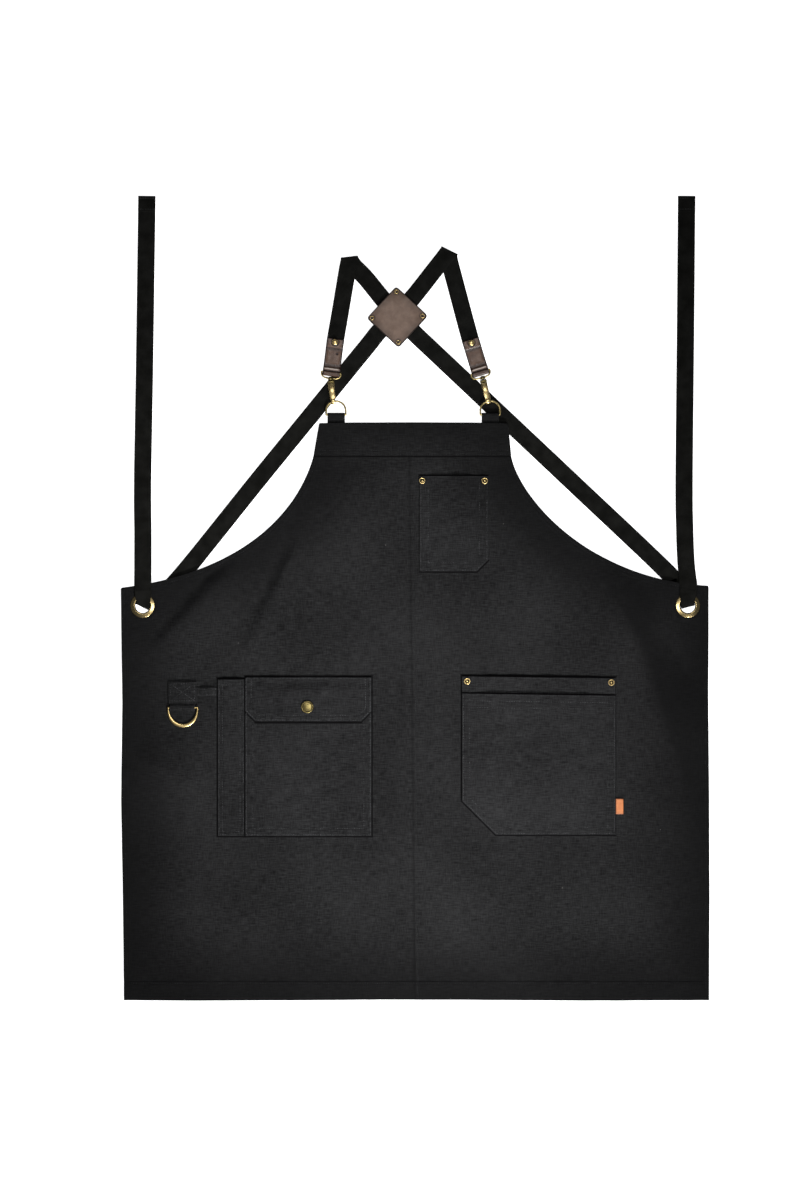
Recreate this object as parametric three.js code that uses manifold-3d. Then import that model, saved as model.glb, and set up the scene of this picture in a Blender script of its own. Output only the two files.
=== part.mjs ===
// A cross-back bib apron of black canvas, lying flat with its front up.
// Millimetres, +Z up, +Y towards the bib. The origin is on the floor, at the middle of the apron's box.
import * as THREE from "three";
import { mergeVertices } from "three/addons/utils/BufferGeometryUtils.js";
import Module from "manifold-3d";

const wasm = await Module();
wasm.setup();

// Driving dimensions
const HALF_LENGTH = 547;
const GAP = 0.3;
const CANVAS = 1.2;
const HEM = { top: -521, thick: 2.2, wave: 1.2, lowAt: 250, period: 520 };
const WEBBING = { half: 11.5, thick: 1.8 };
const LEATHER = 1.5;
const BODY_COLUMNS = 24;

// Body outline: the two side edges by height, then one curve for each armhole, then the bib's sides
const SIDE_EDGES = [
  { y: -547, left: -396, right: 399.4 },
  { y: -410, left: -397.4, right: 400 },
  { y: -275, left: -399.8, right: 399.6 },
  { y: -140, left: -398.2, right: 398.3 },
  { y: 13, left: -400, right: 398.6 },
];
const ARMHOLES = {
  left: [[-398, 14.5], [-235.7, 34.8], [-159.3, 116], [-138.4, 193.4]],
  right: [[398.2, 17], [234.9, 25.3], [140.5, 137.6], [130.6, 193.4]],
};
const BIB_CORNERS = { left: [-130.5, 237.8], right: [126, 237.8] };
const BIB_BOW = 1.4;
const SKIRT_STEP = 24;
const ARMHOLE_ROWS = 10;
const BIB_ROWS = 3;

// What lies under the cloth and lifts it: a flat rise along a line, then a slope down to the floor
const GROMMET_LIFT = 3.2;
const UNDERLAYS = [
  { from: [-370.3, -10], to: [-319, 30], clear: GROMMET_LIFT, reach: 46, fade: 70 },
  { from: [370.3, -10], to: [344, 34], clear: GROMMET_LIFT, reach: 46, fade: 70 },
  { from: [122, 242], to: [128, 226], clear: 2.2, reach: 20, fade: 36 },
  { from: [-107.2, 244], to: [-107.2, 226], clear: 5.2, reach: 19, fade: 38 },
  { from: [102.2, 244], to: [102.2, 226], clear: 5.2, reach: 19, fade: 38 },
];

// Soft folds in the cloth: ridges that rise and die away along a line
const FOLDS = [
  { from: [-160, 84], to: [-236, -94], height: 3.5, width: 26 },
  { from: [-222, 70], to: [-372, -96], height: 4.5, width: 46 },
  { from: [298, 26], to: [378, -285], height: 4.5, width: 36 },
  { from: [-372, -215], to: [-290, -262], height: 2.5, width: 30 },
];

// Pockets: edge is the flat margin along the sewn sides, ramp the slope up to the slack mouth
const CHEST_POCKET = { left: 5.7, right: 99.3, bottom: 36.2, top: 166.6, edge: 10, ramp: 18, swell: 5 };
const CHEST_CHAMFER = { right: 15.5 };
const PEN_POCKET = { left: -268.5, right: -231.6, bottom: -323.4, top: -108.5, edge: 1.5, ramp: 9, swell: 5 };
const POUCH = { left: -231.2, right: -59.3, bottom: -323.4, top: -130, edge: 6, ramp: 26, swell: 5 };
const HAND_POCKET = { left: 63.4, right: 272.3, bottom: -321.6, top: -107, edge: 13, ramp: 30, swell: 5 };
const HAND_FRONT_TOP = -130.5;
const HAND_CHAMFER = { left: 46 };
const FLAP = { top: -105.8, bottom: -166.6, chamfer: 14, riseEnd: -128 };

// Fasteners
const JEANS_RIVET = { head: 4.75, shaft: 1.5, tail: 3.1, height: 1.7, nipple: 1.3, sides: 10 };
const TAB_RIVET = { head: 4, shaft: 1.3, tail: 2.8, height: 1.5, nipple: 2.4, sides: 10 };
const PATCH_RIVET = { head: 3, shaft: 1, tail: 2.2, height: 1, nipple: 1.4, sides: 8 };
const CHEST_RIVETS = [["chest_rivet_left", 9.5, 159.7], ["chest_rivet_right", 94.5, 159.7]];
const HAND_RIVETS = [["hand_rivet_left", 70.7, -112.9], ["hand_rivet_right", 266.6, -114.6]];
const SNAP = { x: -146.6, y: -147.7, cap: 8.5, neck: 4, bore: 2.6, post: 2.2, base: 6 };
const GROMMET = { x: 370.3, y: -10, hole: 10, barrel: 11.7, front: 16.5, back: 15.5 };

// Tool ring on its sewn tab, and the loop beside it
const RING_TAB = { x: -316.5, top: -111.7, half: 19.3, loopHalf: 17 };
const TOOL_RING = { x: -315.7, y: -148.5, z: 4.3, half: 19.9, reach: 24.7, wire: 1.3, belly: 2.6, tilt: 3.2 };
const TOOL_LOOP = { left: -296.9, right: -268.8, y: -127, half: 5.6, foot: 4, slope: 3.5, rise: 5 };
const SIDE_TAG = { left: 272.6, right: 283, y: -283, half: 10.5, thick: 1 };

// Shoulder hardware, from the leather tab down to the bib
const SIDES = {
  left: {
    tabTop: [-108.1, 352.2],
    tabFoot: [-114.2, 304.9],
    rivet: [-108.9, 347.4],
    swivel: [-115.2, 299.7],
    nose: [-111, 264.1],
    ringX: -107.7,
    bibTabX: -107.4,
  },
  right: {
    tabTop: [74.8, 351.3],
    tabFoot: [88.8, 305.6],
    rivet: [76.2, 346.5],
    swivel: [91.3, 300.6],
    nose: [99.7, 264.4],
    ringX: 101.7,
    bibTabX: 102,
  },
};
const TAB_HALF = 11.8;
const EYE = { half: 13.2, wire: 1.2, bar: 7, foot: 1, z: 5.1, boss: 2.9 };
const BIB_RING = { half: 13.4, wire: 1.3, barY: 249.3, barZ: 5, topZ: 6, reach: 18.4, leg: 5 };
const HOOK = { half: 3.1, collarHalf: 4.6, stem: 1.2, button: 2.4, bore: 1.6 };
const LEVER = { half: 3.9, root: 7.9, tip: 5.4 };
const BIB_TAB_HALF = 11.4;

// Back patch where the two straps cross, turned so that its sides face the straps
const PATCH = { x: -24.3, y: 382, half: 29.5, turn: 47.2, rivet: 24.2, backThick: 2, strapHalf: 15.5, foot: 21 };

// The two straps: route points on the floor plan, with the height of the webbing's middle
const FLOOR_LEVEL = WEBBING.thick / 2;
const UPPER_LEVEL = FLOOR_LEVEL + WEBBING.thick + GAP;
const TAB_LEVEL = 4.8;
const TIE_LEVEL = 7.1;
const TIE_END = HALF_LENGTH - 0.1;
const STRAPS = {
  left: {
    fold: [-89.4, 462.6],
    frontOnTop: true,
    crossing: PATCH.backThick + GAP + FLOOR_LEVEL,
    past: [210.4, 160.8],
    bodyEdge: [343.8, 34.3],
    tie: [[371, 19], [368, 48], [366.5, 90], [365.6, 160], [367.6, 374], [369, TIE_END]],
  },
  right: {
    fold: [46.2, 471.4],
    frontOnTop: false,
    crossing: PATCH.backThick + GAP + UPPER_LEVEL,
    past: [-212.6, 160.8],
    bodyEdge: [-319.2, 29.5],
    tie: [[-370, 19], [-370, 48], [-370.2, 90], [-370.4, 160], [-368.2, 318], [-366.7, TIE_END]],
  },
};
const TIE_LEVELS = [5.9, 3.3, FLOOR_LEVEL, FLOOR_LEVEL, FLOOR_LEVEL, FLOOR_LEVEL];
const GROMMET_SQUEEZE = 7.4;

// Materials
const finish = (color, roughness, metalness) => new THREE.MeshStandardMaterial({ color, roughness, metalness });
const canvas = () => finish(0x242527, 0.9, 0);
const webbing = () => finish(0x171714, 0.95, 0);
const leather = () => finish(0x4b3732, 0.4, 0);
const tanLeather = () => finish(0xbe6e41, 0.6, 0);
const brass = () => finish(0xbe9650, 0.35, 1);

const apron = new THREE.Group();

// Small helpers

const vec = (x, y, z) => new THREE.Vector3(x, y, z);
const mix = (a, b, t) => a + (b - a) * t;
const clamp = (t) => Math.min(1, Math.max(0, t));
const smooth = (t) => clamp(t) ** 2 * (3 - 2 * clamp(t));
const range = (n) => [...Array(n).keys()];

function addMesh(name, geometry, material) {
  const mesh = new THREE.Mesh(geometry, material);
  mesh.name = name;
  apron.add(mesh);
  return mesh;
}

// Merges shared vertices, drops flat slivers at an axis and turns the faces outward
function closed(source) {
  const bare = new THREE.BufferGeometry();
  bare.setAttribute("position", source.getAttribute("position").clone());
  bare.setIndex(source.index ? source.index.clone() : null);
  const merged = mergeVertices(bare, 1e-4);
  const p = merged.getAttribute("position");
  const corner = (i) => new THREE.Vector3().fromBufferAttribute(p, i);
  const triangles = [];
  let volume = 0;
  for (let i = 0; i < merged.index.count; i += 3) {
    const t = [0, 1, 2].map((k) => merged.index.getX(i + k));
    if (new Set(t).size < 3) continue;
    triangles.push(t);
    volume += corner(t[0]).dot(corner(t[1]).cross(corner(t[2])));
  }
  const ordered = volume < 0 ? triangles.map(([a, b, c]) => [a, c, b]) : triangles;
  merged.setIndex(ordered.flat());
  return merged;
}

function toManifold(geometry) {
  const g = closed(geometry);
  const vertProperties = new Float32Array(g.getAttribute("position").array);
  const triVerts = new Uint32Array(g.index.array);
  return new wasm.Manifold(new wasm.Mesh({ numProp: 3, vertProperties, triVerts }));
}

function fromManifold(solid) {
  const mesh = solid.getMesh();
  const g = new THREE.BufferGeometry();
  g.setAttribute("position", new THREE.BufferAttribute(new Float32Array(mesh.vertProperties), 3));
  g.setIndex([...mesh.triVerts]);
  return g;
}

function cut(geometry, cutters) {
  return fromManifold(cutters.reduce((solid, c) => solid.subtract(toManifold(c)), toManifold(geometry)));
}

function join(geometries) {
  return fromManifold(geometries.map(toManifold).reduce((a, b) => a.add(b)));
}

// A closed solid between two grids of points that have the same rows and columns
function slab(lower, upper) {
  const rows = lower.length;
  const columns = lower[0].length;
  const points = [...lower.flat(), ...upper.flat()];
  const at = (layer, r, c) => (layer * rows + r) * columns + c;
  const index = [];
  const quad = (a, b, c, d) => index.push(a, b, c, a, c, d);
  for (const r of range(rows - 1)) {
    for (const c of range(columns - 1)) {
      quad(at(1, r, c), at(1, r, c + 1), at(1, r + 1, c + 1), at(1, r + 1, c));
      quad(at(0, r, c), at(0, r + 1, c), at(0, r + 1, c + 1), at(0, r, c + 1));
    }
    quad(at(0, r, 0), at(1, r, 0), at(1, r + 1, 0), at(0, r + 1, 0));
    const end = columns - 1;
    quad(at(0, r, end), at(0, r + 1, end), at(1, r + 1, end), at(1, r, end));
  }
  for (const c of range(columns - 1)) {
    quad(at(0, 0, c), at(0, 0, c + 1), at(1, 0, c + 1), at(1, 0, c));
    const end = rows - 1;
    quad(at(0, end, c), at(1, end, c), at(1, end, c + 1), at(0, end, c + 1));
  }
  const g = new THREE.BufferGeometry();
  g.setAttribute("position", new THREE.Float32BufferAttribute(points.flatMap((p) => p.toArray()), 3));
  g.setIndex(index);
  return closed(g);
}

// A flat band of constant thickness through sections, each with two edges and a normal
function ribbon(sections, thick) {
  const layer = (sign) =>
    sections.map(({ edges, normal }) => edges.map((e) => e.clone().addScaledVector(normal, (sign * thick) / 2)));
  return slab(layer(-1), layer(1));
}

// A strip bent in one vertical plane: profile points are [distance, height, half width]
function bentStrip(origin, direction, profile, thick) {
  const along = vec(direction.x, direction.y, 0).normalize();
  const across = vec(-along.y, along.x, 0);
  const place = ([s, z]) => vec(origin.x, origin.y, z).addScaledVector(along, s);
  const sections = profile.map((point, i) => {
    const before = profile[Math.max(0, i - 1)];
    const after = profile[Math.min(profile.length - 1, i + 1)];
    const run = after[0] - before[0];
    const rise = after[1] - before[1];
    const normal = along.clone().multiplyScalar(-rise).add(vec(0, 0, run)).normalize();
    const middle = place(point);
    const edges = [-1, 1].map((sign) => middle.clone().addScaledVector(across, sign * point[2]));
    return { edges, normal };
  });
  return ribbon(sections, thick);
}

// A solid turned about a vertical axis; the profile is [radius, height], from axis to axis or closed
function turned(profile, segments, x, y) {
  const points = profile.map(([r, z]) => new THREE.Vector2(r, z));
  return new THREE.LatheGeometry(points, segments).rotateX(Math.PI / 2).translate(x, y, 0);
}

function drill(x, y, radius, low, high, segments = 8) {
  return turned([[0, low], [radius, low], [radius, high], [0, high]], segments, x, y);
}

// A closed ring of wire along a flat loop of [x, y, half width] points, round or oval in section
function wireLoop(loop, halfHeight, sides) {
  const count = loop.length;
  const points = [];
  for (const i of range(count)) {
    const [x, y, half] = loop[i];
    const before = loop[(i + count - 1) % count];
    const after = loop[(i + 1) % count];
    const out = new THREE.Vector2(after[1] - before[1], before[0] - after[0]).normalize();
    for (const k of range(sides)) {
      const a = (2 * Math.PI * (k + 0.5)) / sides;
      const side = half * Math.cos(a);
      points.push(x + out.x * side, y + out.y * side, halfHeight * Math.sin(a));
    }
  }
  const index = [];
  for (const i of range(count)) {
    for (const k of range(sides)) {
      const a = i * sides + k;
      const b = i * sides + ((k + 1) % sides);
      const c = ((i + 1) % count) * sides + ((k + 1) % sides);
      const d = ((i + 1) % count) * sides + k;
      index.push(a, b, c, a, c, d);
    }
  }
  const g = new THREE.BufferGeometry();
  g.setAttribute("position", new THREE.Float32BufferAttribute(points, 3));
  g.setIndex(index);
  return closed(g);
}

// Cloth surface

function edgeX(side, y) {
  const i = Math.max(1, SIDE_EDGES.findIndex((row) => row.y >= y));
  const low = SIDE_EDGES[i - 1];
  const high = SIDE_EDGES[i];
  return mix(low[side], high[side], (y - low.y) / (high.y - low.y));
}

function nearLine(x, y, { from, to }) {
  const run = [to[0] - from[0], to[1] - from[1]];
  const long2 = run[0] ** 2 + run[1] ** 2;
  const t = ((x - from[0]) * run[0] + (y - from[1]) * run[1]) / long2;
  const s = clamp(t);
  return { t, distance: Math.hypot(x - from[0] - s * run[0], y - from[1] - s * run[1]) };
}

function underlayRise(x, y) {
  const rises = UNDERLAYS.map((u) => {
    const { distance } = nearLine(x, y, u);
    return u.clear * (1 - smooth((distance - u.reach) / u.fade));
  });
  return Math.max(...rises);
}

function foldRise(x, y) {
  const FADE = 0.35;
  const rises = FOLDS.map((f) => {
    const { t, distance } = nearLine(x, y, f);
    const across = (1 + Math.cos(Math.PI * clamp(distance / f.width))) / 2;
    return f.height * across * smooth(t / FADE) * smooth((1 - t) / FADE);
  });
  return rises.reduce((a, b) => a + b);
}

const clothHeight = (x, y) => Math.max(underlayRise(x, y), foldRise(x, y));

function hemY(x) {
  return -HALF_LENGTH + (HEM.wave * (1 - Math.cos((2 * Math.PI * (x - HEM.lowAt)) / HEM.period))) / 2;
}

// Body rows from hem to bib, each a list of [x, y] across the cloth
function bodyRows() {
  const skirtTop = SIDE_EDGES[SIDE_EDGES.length - 1].y;
  const levels = [-HALF_LENGTH, HEM.top - 1, HEM.top + 1];
  const steps = Math.round((skirtTop - HEM.top) / SKIRT_STEP);
  for (const i of range(steps)) levels.push(mix(HEM.top, skirtTop, (i + 1) / steps));
  const ends = levels.map((y) => [[edgeX("left", y), y], [edgeX("right", y), y]]);
  const curve = (side) => new THREE.CubicBezierCurve(...ARMHOLES[side].map((p) => new THREE.Vector2(...p)));
  const armholes = [curve("left"), curve("right")];
  for (const i of range(ARMHOLE_ROWS + 1)) {
    ends.push(armholes.map((c) => c.getPoint(i / ARMHOLE_ROWS).toArray()));
  }
  for (const i of range(BIB_ROWS)) {
    const t = (i + 1) / BIB_ROWS;
    ends.push(["left", "right"].map((side) => ARMHOLES[side][3].map((p, k) => mix(p, BIB_CORNERS[side][k], t))));
  }
  return ends.map(([left, right], row) =>
    range(BODY_COLUMNS + 1).map((i) => {
      const u = i / BODY_COLUMNS;
      const x = mix(left[0], right[0], u);
      const bow = row === ends.length - 1 ? BIB_BOW * (1 - (2 * u - 1) ** 2) : 0;
      const y = row === 0 ? hemY(x) : mix(left[1], right[1], u) + bow;
      return [x, y];
    }),
  );
}

function clothSlab(rows, lowAt, thickAt) {
  const lower = rows.map((row) => row.map(([x, y]) => vec(x, y, lowAt(x, y))));
  const upper = rows.map((row) => row.map(([x, y]) => vec(x, y, lowAt(x, y) + thickAt(x, y))));
  return slab(lower, upper);
}

// Rivets: a domed head with a nipple, a shaft, and a tail clinched flush into the lowest layer
function rivet(name, kind, x, y, levels) {
  const { head, shaft, tail, height, nipple } = kind;
  const seat = levels.seat;
  const profile = [
    [0, levels.tail],
    [tail, levels.tail],
    [shaft, levels.tail + levels.tailDeep],
    [shaft, seat],
    [head, seat],
    [head, seat + height * 0.35],
    [head * 0.75, seat + height],
    [nipple * 1.3, seat + height * 0.75],
    [nipple, seat + height * 1.25],
    [0, seat + height * 1.35],
  ];
  addMesh(name, closed(turned(profile, kind.sides, x, y)), brass());
}

// The hole for a rivet's tail in the lowest layer, wider below
function tailHole(kind, x, y, low, deep) {
  const profile = [
    [0, low - 1],
    [kind.tail + GAP, low - 1],
    [kind.tail + GAP, low],
    [kind.shaft + GAP, low + deep],
    [kind.shaft + GAP, low + deep + 1],
    [0, low + deep + 1],
  ];
  return turned(profile, 8, x, y);
}

function buildBody() {
  const rows = bodyRows();
  const thickAt = (x, y) => (y < HEM.top ? HEM.thick : CANVAS);
  const grommetHoles = [-1, 1].map((s) => drill(s * GROMMET.x, GROMMET.y, GROMMET.barrel + GAP, 0, 9, 20));
  const rivetHoles = [...CHEST_RIVETS, ...HAND_RIVETS].map(([, x, y]) => tailHole(JEANS_RIVET, x, y, 0, CANVAS));
  const sheet = clothSlab(rows, clothHeight, thickAt);
  addMesh("apron_body", cut(sheet, [...grommetHoles, ...rivetHoles]), canvas());
  const bandRows = rows.slice(-BIB_ROWS - 1);
  const bandLow = (x, y) => clothHeight(x, y) + CANVAS + GAP;
  addMesh("bib_band", clothSlab(bandRows, bandLow, () => CANVAS), canvas());
}

// Pockets

function pocketColumns({ left, right, edge, ramp }) {
  const rise = [edge, edge + ramp];
  return [left, ...rise.map((d) => left + d), ...rise.map((d) => right - d).reverse(), right];
}

function pocketSwell({ left, right, bottom, top, edge, ramp, swell }, x, y) {
  const fromSide = Math.min(x - left, right - x);
  const up = (y - bottom) / (top - bottom);
  const FLAT_FROM = 0.6;
  return swell * clamp((fromSide - edge) / ramp) * smooth(up / FLAT_FROM);
}

// Rows of [x, y] from the bottom up; a chamfer draws the lower rows in on one side
function pocketRows(pocket, chamfer, levels) {
  const columns = pocketColumns(pocket);
  return levels.map((y) => {
    const inset = (size) => (size ? size * clamp(1 - (y - pocket.bottom) / size) : 0);
    const left = pocket.left + inset(chamfer.left);
    const right = pocket.right - inset(chamfer.right);
    return columns.map((x) => [Math.min(right, Math.max(left, x)), y]);
  });
}

function pocketLevels(pocket, chamferSize) {
  const first = pocket.bottom + chamferSize;
  const steps = 6;
  return [pocket.bottom, ...range(steps + 1).map((i) => mix(first, pocket.top, i / steps))];
}

const ON_BODY = CANVAS + GAP;

function buildChestPocket() {
  const rows = pocketRows(CHEST_POCKET, CHEST_CHAMFER, pocketLevels(CHEST_POCKET, CHEST_CHAMFER.right));
  const low = (x, y) => ON_BODY + pocketSwell(CHEST_POCKET, x, y);
  const holes = CHEST_RIVETS.map(([, x, y]) => drill(x, y, JEANS_RIVET.shaft + GAP, 1, 5));
  addMesh("chest_pocket", cut(clothSlab(rows, low, () => CANVAS), holes), canvas());
  const levels = { tail: 0, tailDeep: CANVAS, seat: ON_BODY + CANVAS + GAP };
  for (const [name, x, y] of CHEST_RIVETS) rivet(name, JEANS_RIVET, x, y, levels);
}

function buildHandPocket() {
  const lower = HAND_POCKET.bottom + HAND_CHAMFER.left;
  const shared = [HAND_POCKET.bottom, ...range(5).map((i) => mix(lower, HAND_FRONT_TOP, i / 4))];
  const backRows = pocketRows(HAND_POCKET, HAND_CHAMFER, [...shared, HAND_POCKET.top]);
  const frontRows = backRows.slice(0, -1);
  const backLow = (x, y) => ON_BODY + pocketSwell(HAND_POCKET, x, y);
  const front = { ...HAND_POCKET, top: HAND_FRONT_TOP };
  const frontLow = (x, y) => backLow(x, y) + CANVAS + GAP + pocketSwell(front, x, y);
  const holes = HAND_RIVETS.map(([, x, y]) => drill(x, y, JEANS_RIVET.shaft + GAP, 1, 5));
  addMesh("hand_pocket_back", cut(clothSlab(backRows, backLow, () => CANVAS), holes), canvas());
  addMesh("hand_pocket_front", clothSlab(frontRows, frontLow, () => CANVAS), canvas());
  const levels = { tail: 0, tailDeep: CANVAS, seat: ON_BODY + CANVAS + GAP };
  for (const [name, x, y] of HAND_RIVETS) rivet(name, JEANS_RIVET, x, y, levels);
}

function buildFlapPouch() {
  const levels = pocketLevels(POUCH, 0).slice(1);
  const rows = pocketRows(POUCH, {}, levels);
  const low = (x, y) => ON_BODY + pocketSwell(POUCH, x, y);
  const pouch = clothSlab(rows, low, () => CANVAS);
  const plateau = ON_BODY + POUCH.swell;
  addMesh("flap_pouch", cut(pouch, [drill(SNAP.x, SNAP.y, SNAP.bore, plateau - 1, plateau + 3)]), canvas());

  const { top, bottom, chamfer, riseEnd } = FLAP;
  const flapLevels = [bottom, bottom + chamfer, mix(bottom + chamfer, riseEnd, 0.5), riseEnd, top - 4, top];
  const shape = { ...POUCH, bottom };
  const flapRows = pocketRows(shape, { left: chamfer, right: chamfer }, flapLevels);
  const over = (x) => CANVAS + GAP + pocketSwell(POUCH, x, POUCH.top);
  const flapLow = (x, y) => ON_BODY + over(x) * (1 - smooth((y - riseEnd) / (top - 4 - riseEnd)));
  const flap = clothSlab(flapRows, flapLow, () => CANVAS);
  const flapHole = drill(SNAP.x, SNAP.y, SNAP.neck + GAP, plateau, plateau + 6, 14);
  addMesh("pocket_flap", cut(flap, [flapHole]), canvas());
  buildSnap(plateau);
}

// The snap, fastened: the cap's neck goes through the flap and takes the post that stands on the pouch
function buildSnap(plateau) {
  const pouchTop = plateau + CANVAS;
  const capSeat = pouchTop + GAP + CANVAS + GAP;
  const bore = SNAP.post + GAP;
  const cap = [
    [bore, pouchTop + 0.25],
    [SNAP.neck, pouchTop + 0.25],
    [SNAP.neck, capSeat],
    [SNAP.cap, capSeat],
    [SNAP.cap, capSeat + 0.8],
    [SNAP.cap * 0.85, capSeat + 1.7],
    [SNAP.cap * 0.6, capSeat + 1.5],
    [0, capSeat + 1.9],
    [0, capSeat + 0.7],
    [bore, capSeat + 0.7],
    [bore, pouchTop + 0.25],
  ];
  addMesh("snap_cap", closed(turned(cap, 16, SNAP.x, SNAP.y)), brass());
  const stud = [
    [0, plateau - GAP - 1.1],
    [SNAP.base, plateau - GAP - 1.1],
    [SNAP.base, plateau - GAP],
    [SNAP.post, plateau - GAP],
    [SNAP.post, capSeat + 0.3],
    [0, capSeat + 0.3],
  ];
  addMesh("snap_stud", closed(turned(stud, 10, SNAP.x, SNAP.y)), brass());
}

function buildPenPocket() {
  const rows = pocketRows(PEN_POCKET, {}, pocketLevels(PEN_POCKET, 0).slice(1));
  const low = (x, y) => ON_BODY + pocketSwell(PEN_POCKET, x, y);
  addMesh("pen_pocket", clothSlab(rows, low, () => CANVAS), canvas());
}

// Tool ring, its tab, the loop beside it and the leather tag

function buildToolRing() {
  const back = ON_BODY + CANVAS / 2;
  const front = back + CANVAS + GAP;
  const bar = RING_TAB.top - TOOL_RING.y;
  const roll = TOOL_RING.wire + GAP + CANVAS / 2;
  const { half, loopHalf } = RING_TAB;
  const profile = [
    [0, front, half],
    [29, front, half],
    [31, mix(front, TOOL_RING.z + roll, 0.2), loopHalf],
    [bar - 2, TOOL_RING.z + roll, loopHalf],
    [bar + 1.5, TOOL_RING.z + roll, loopHalf],
    [bar + 4, TOOL_RING.z + roll * 0.6, loopHalf],
    [bar + 4.7, TOOL_RING.z, loopHalf],
    [bar + 4, TOOL_RING.z - roll * 0.6, loopHalf],
    [bar + 1.5, back, loopHalf],
    [31, back, loopHalf],
    [29, back, half],
    [0, back, half],
  ];
  const tab = bentStrip(vec(RING_TAB.x, RING_TAB.top, 0), vec(0, -1, 0), profile, CANVAS);
  addMesh("ring_tab", tab, canvas());

  const loop = [];
  const barSteps = 4;
  const arcSteps = 16;
  for (const i of range(barSteps)) {
    loop.push([mix(-TOOL_RING.half, TOOL_RING.half, (i + 0.5) / barSteps), 0, TOOL_RING.wire]);
  }
  for (const i of range(arcSteps + 1)) {
    const a = (Math.PI * i) / arcSteps;
    const half = mix(TOOL_RING.wire, TOOL_RING.belly, smooth(Math.sin(a) * 1.1));
    loop.push([TOOL_RING.half * Math.cos(a), -TOOL_RING.reach * Math.sin(a) ** 0.85, half]);
  }
  const ring = addMesh("tool_ring", wireLoop(loop, TOOL_RING.wire, 6), brass());
  ring.position.set(TOOL_RING.x, TOOL_RING.y, TOOL_RING.z);
  ring.rotation.x = THREE.MathUtils.degToRad(TOOL_RING.tilt);
}

function buildToolLoop() {
  const { left, right, foot, slope, rise, half } = TOOL_LOOP;
  const low = ON_BODY + CANVAS / 2;
  const span = right - left;
  const profile = [
    [0, low, half],
    [foot, low, half],
    [foot + slope, low + rise, half],
    [span - foot - slope, low + rise, half],
    [span - foot, low, half],
    [span, low, half],
  ];
  const strip = bentStrip(vec(left, TOOL_LOOP.y, 0), vec(1, 0, 0), profile, CANVAS);
  addMesh("tool_loop", strip, canvas());
}

function buildSideTag() {
  const { left, right, y, half, thick } = SIDE_TAG;
  const low = ON_BODY + thick / 2;
  const high = low + thick + GAP;
  const reach = right - left - thick / 2;
  const bend = (high - low) / 2;
  const profile = [
    [0, high, half],
    [reach - bend, high, half],
    [reach - bend * 0.3, high - bend * 0.3, half],
    [reach, low + bend, half],
    [reach - bend * 0.3, low + bend * 0.3, half],
    [reach - bend, low, half],
    [0, low, half],
  ];
  addMesh("side_tag", bentStrip(vec(left, y, 0), vec(1, 0, 0), profile, thick), tanLeather());
}

// Grommets in the two waist corners

function buildGrommets() {
  const back = GROMMET_LIFT - GAP;
  const front = GROMMET_LIFT + CANVAS + GAP;
  const { hole, barrel } = GROMMET;
  const profile = [
    [hole + 0.6, back - 0.8],
    [GROMMET.back, back - 0.8],
    [GROMMET.back, back],
    [barrel, back],
    [barrel, front],
    [GROMMET.front, front],
    [GROMMET.front, front + 0.5],
    [GROMMET.front - 1.6, front + 1.2],
    [hole + 1.5, front + 1.2],
    [hole, front + 0.5],
    [hole, back - 0.3],
    [hole + 0.6, back - 0.8],
  ];
  for (const [name, sign] of [["grommet_left", -1], ["grommet_right", 1]]) {
    addMesh(name, closed(turned(profile, 16, sign * GROMMET.x, GROMMET.y)), brass());
  }
}

// Shoulder hardware

const plan = ([x, y]) => new THREE.Vector2(x, y);
const unit = (a, b) => plan(b).sub(plan(a)).normalize();

function buildLeatherTab(side, place) {
  const axis = unit(place.tabTop, place.tabFoot);
  const long = plan(place.tabTop).distanceTo(plan(place.tabFoot));
  const roll = EYE.wire + GAP + LEATHER / 2;
  const bar = long - 1.6;
  const back = EYE.z - roll;
  const folded = back + LEATHER + GAP;
  const overStrap = back + LEATHER + GAP + WEBBING.thick + GAP;
  const profile = [
    [0, overStrap, TAB_HALF],
    [8.5, overStrap, TAB_HALF],
    [13, folded, TAB_HALF],
    [33, folded, TAB_HALF],
    [bar - 6, mix(folded, EYE.z + roll, 0.45), TAB_HALF],
    [bar - 2.5, EYE.z + roll, TAB_HALF],
    [bar, EYE.z + roll, TAB_HALF],
    [bar + roll * 0.7, EYE.z + roll * 0.7, TAB_HALF],
    [bar + roll, EYE.z, TAB_HALF],
    [bar + roll * 0.7, EYE.z - roll * 0.7, TAB_HALF],
    [bar, back, TAB_HALF],
    [0, back, TAB_HALF],
  ];
  const strip = bentStrip(vec(...place.tabTop, 0), vec(axis.x, axis.y, 0), profile, LEATHER);
  const [x, y] = place.rivet;
  const low = back - LEATHER / 2;
  const holes = [tailHole(TAB_RIVET, x, y, low, LEATHER), drill(x, y, TAB_RIVET.shaft + GAP, back, 9)];
  addMesh(`leather_tab_${side}`, cut(strip, holes), leather());
  const seat = overStrap + LEATHER / 2 + GAP;
  rivet(`tab_rivet_${side}`, TAB_RIVET, x, y, { tail: low, tailDeep: LEATHER, seat });
  return { axis, bar };
}

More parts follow.
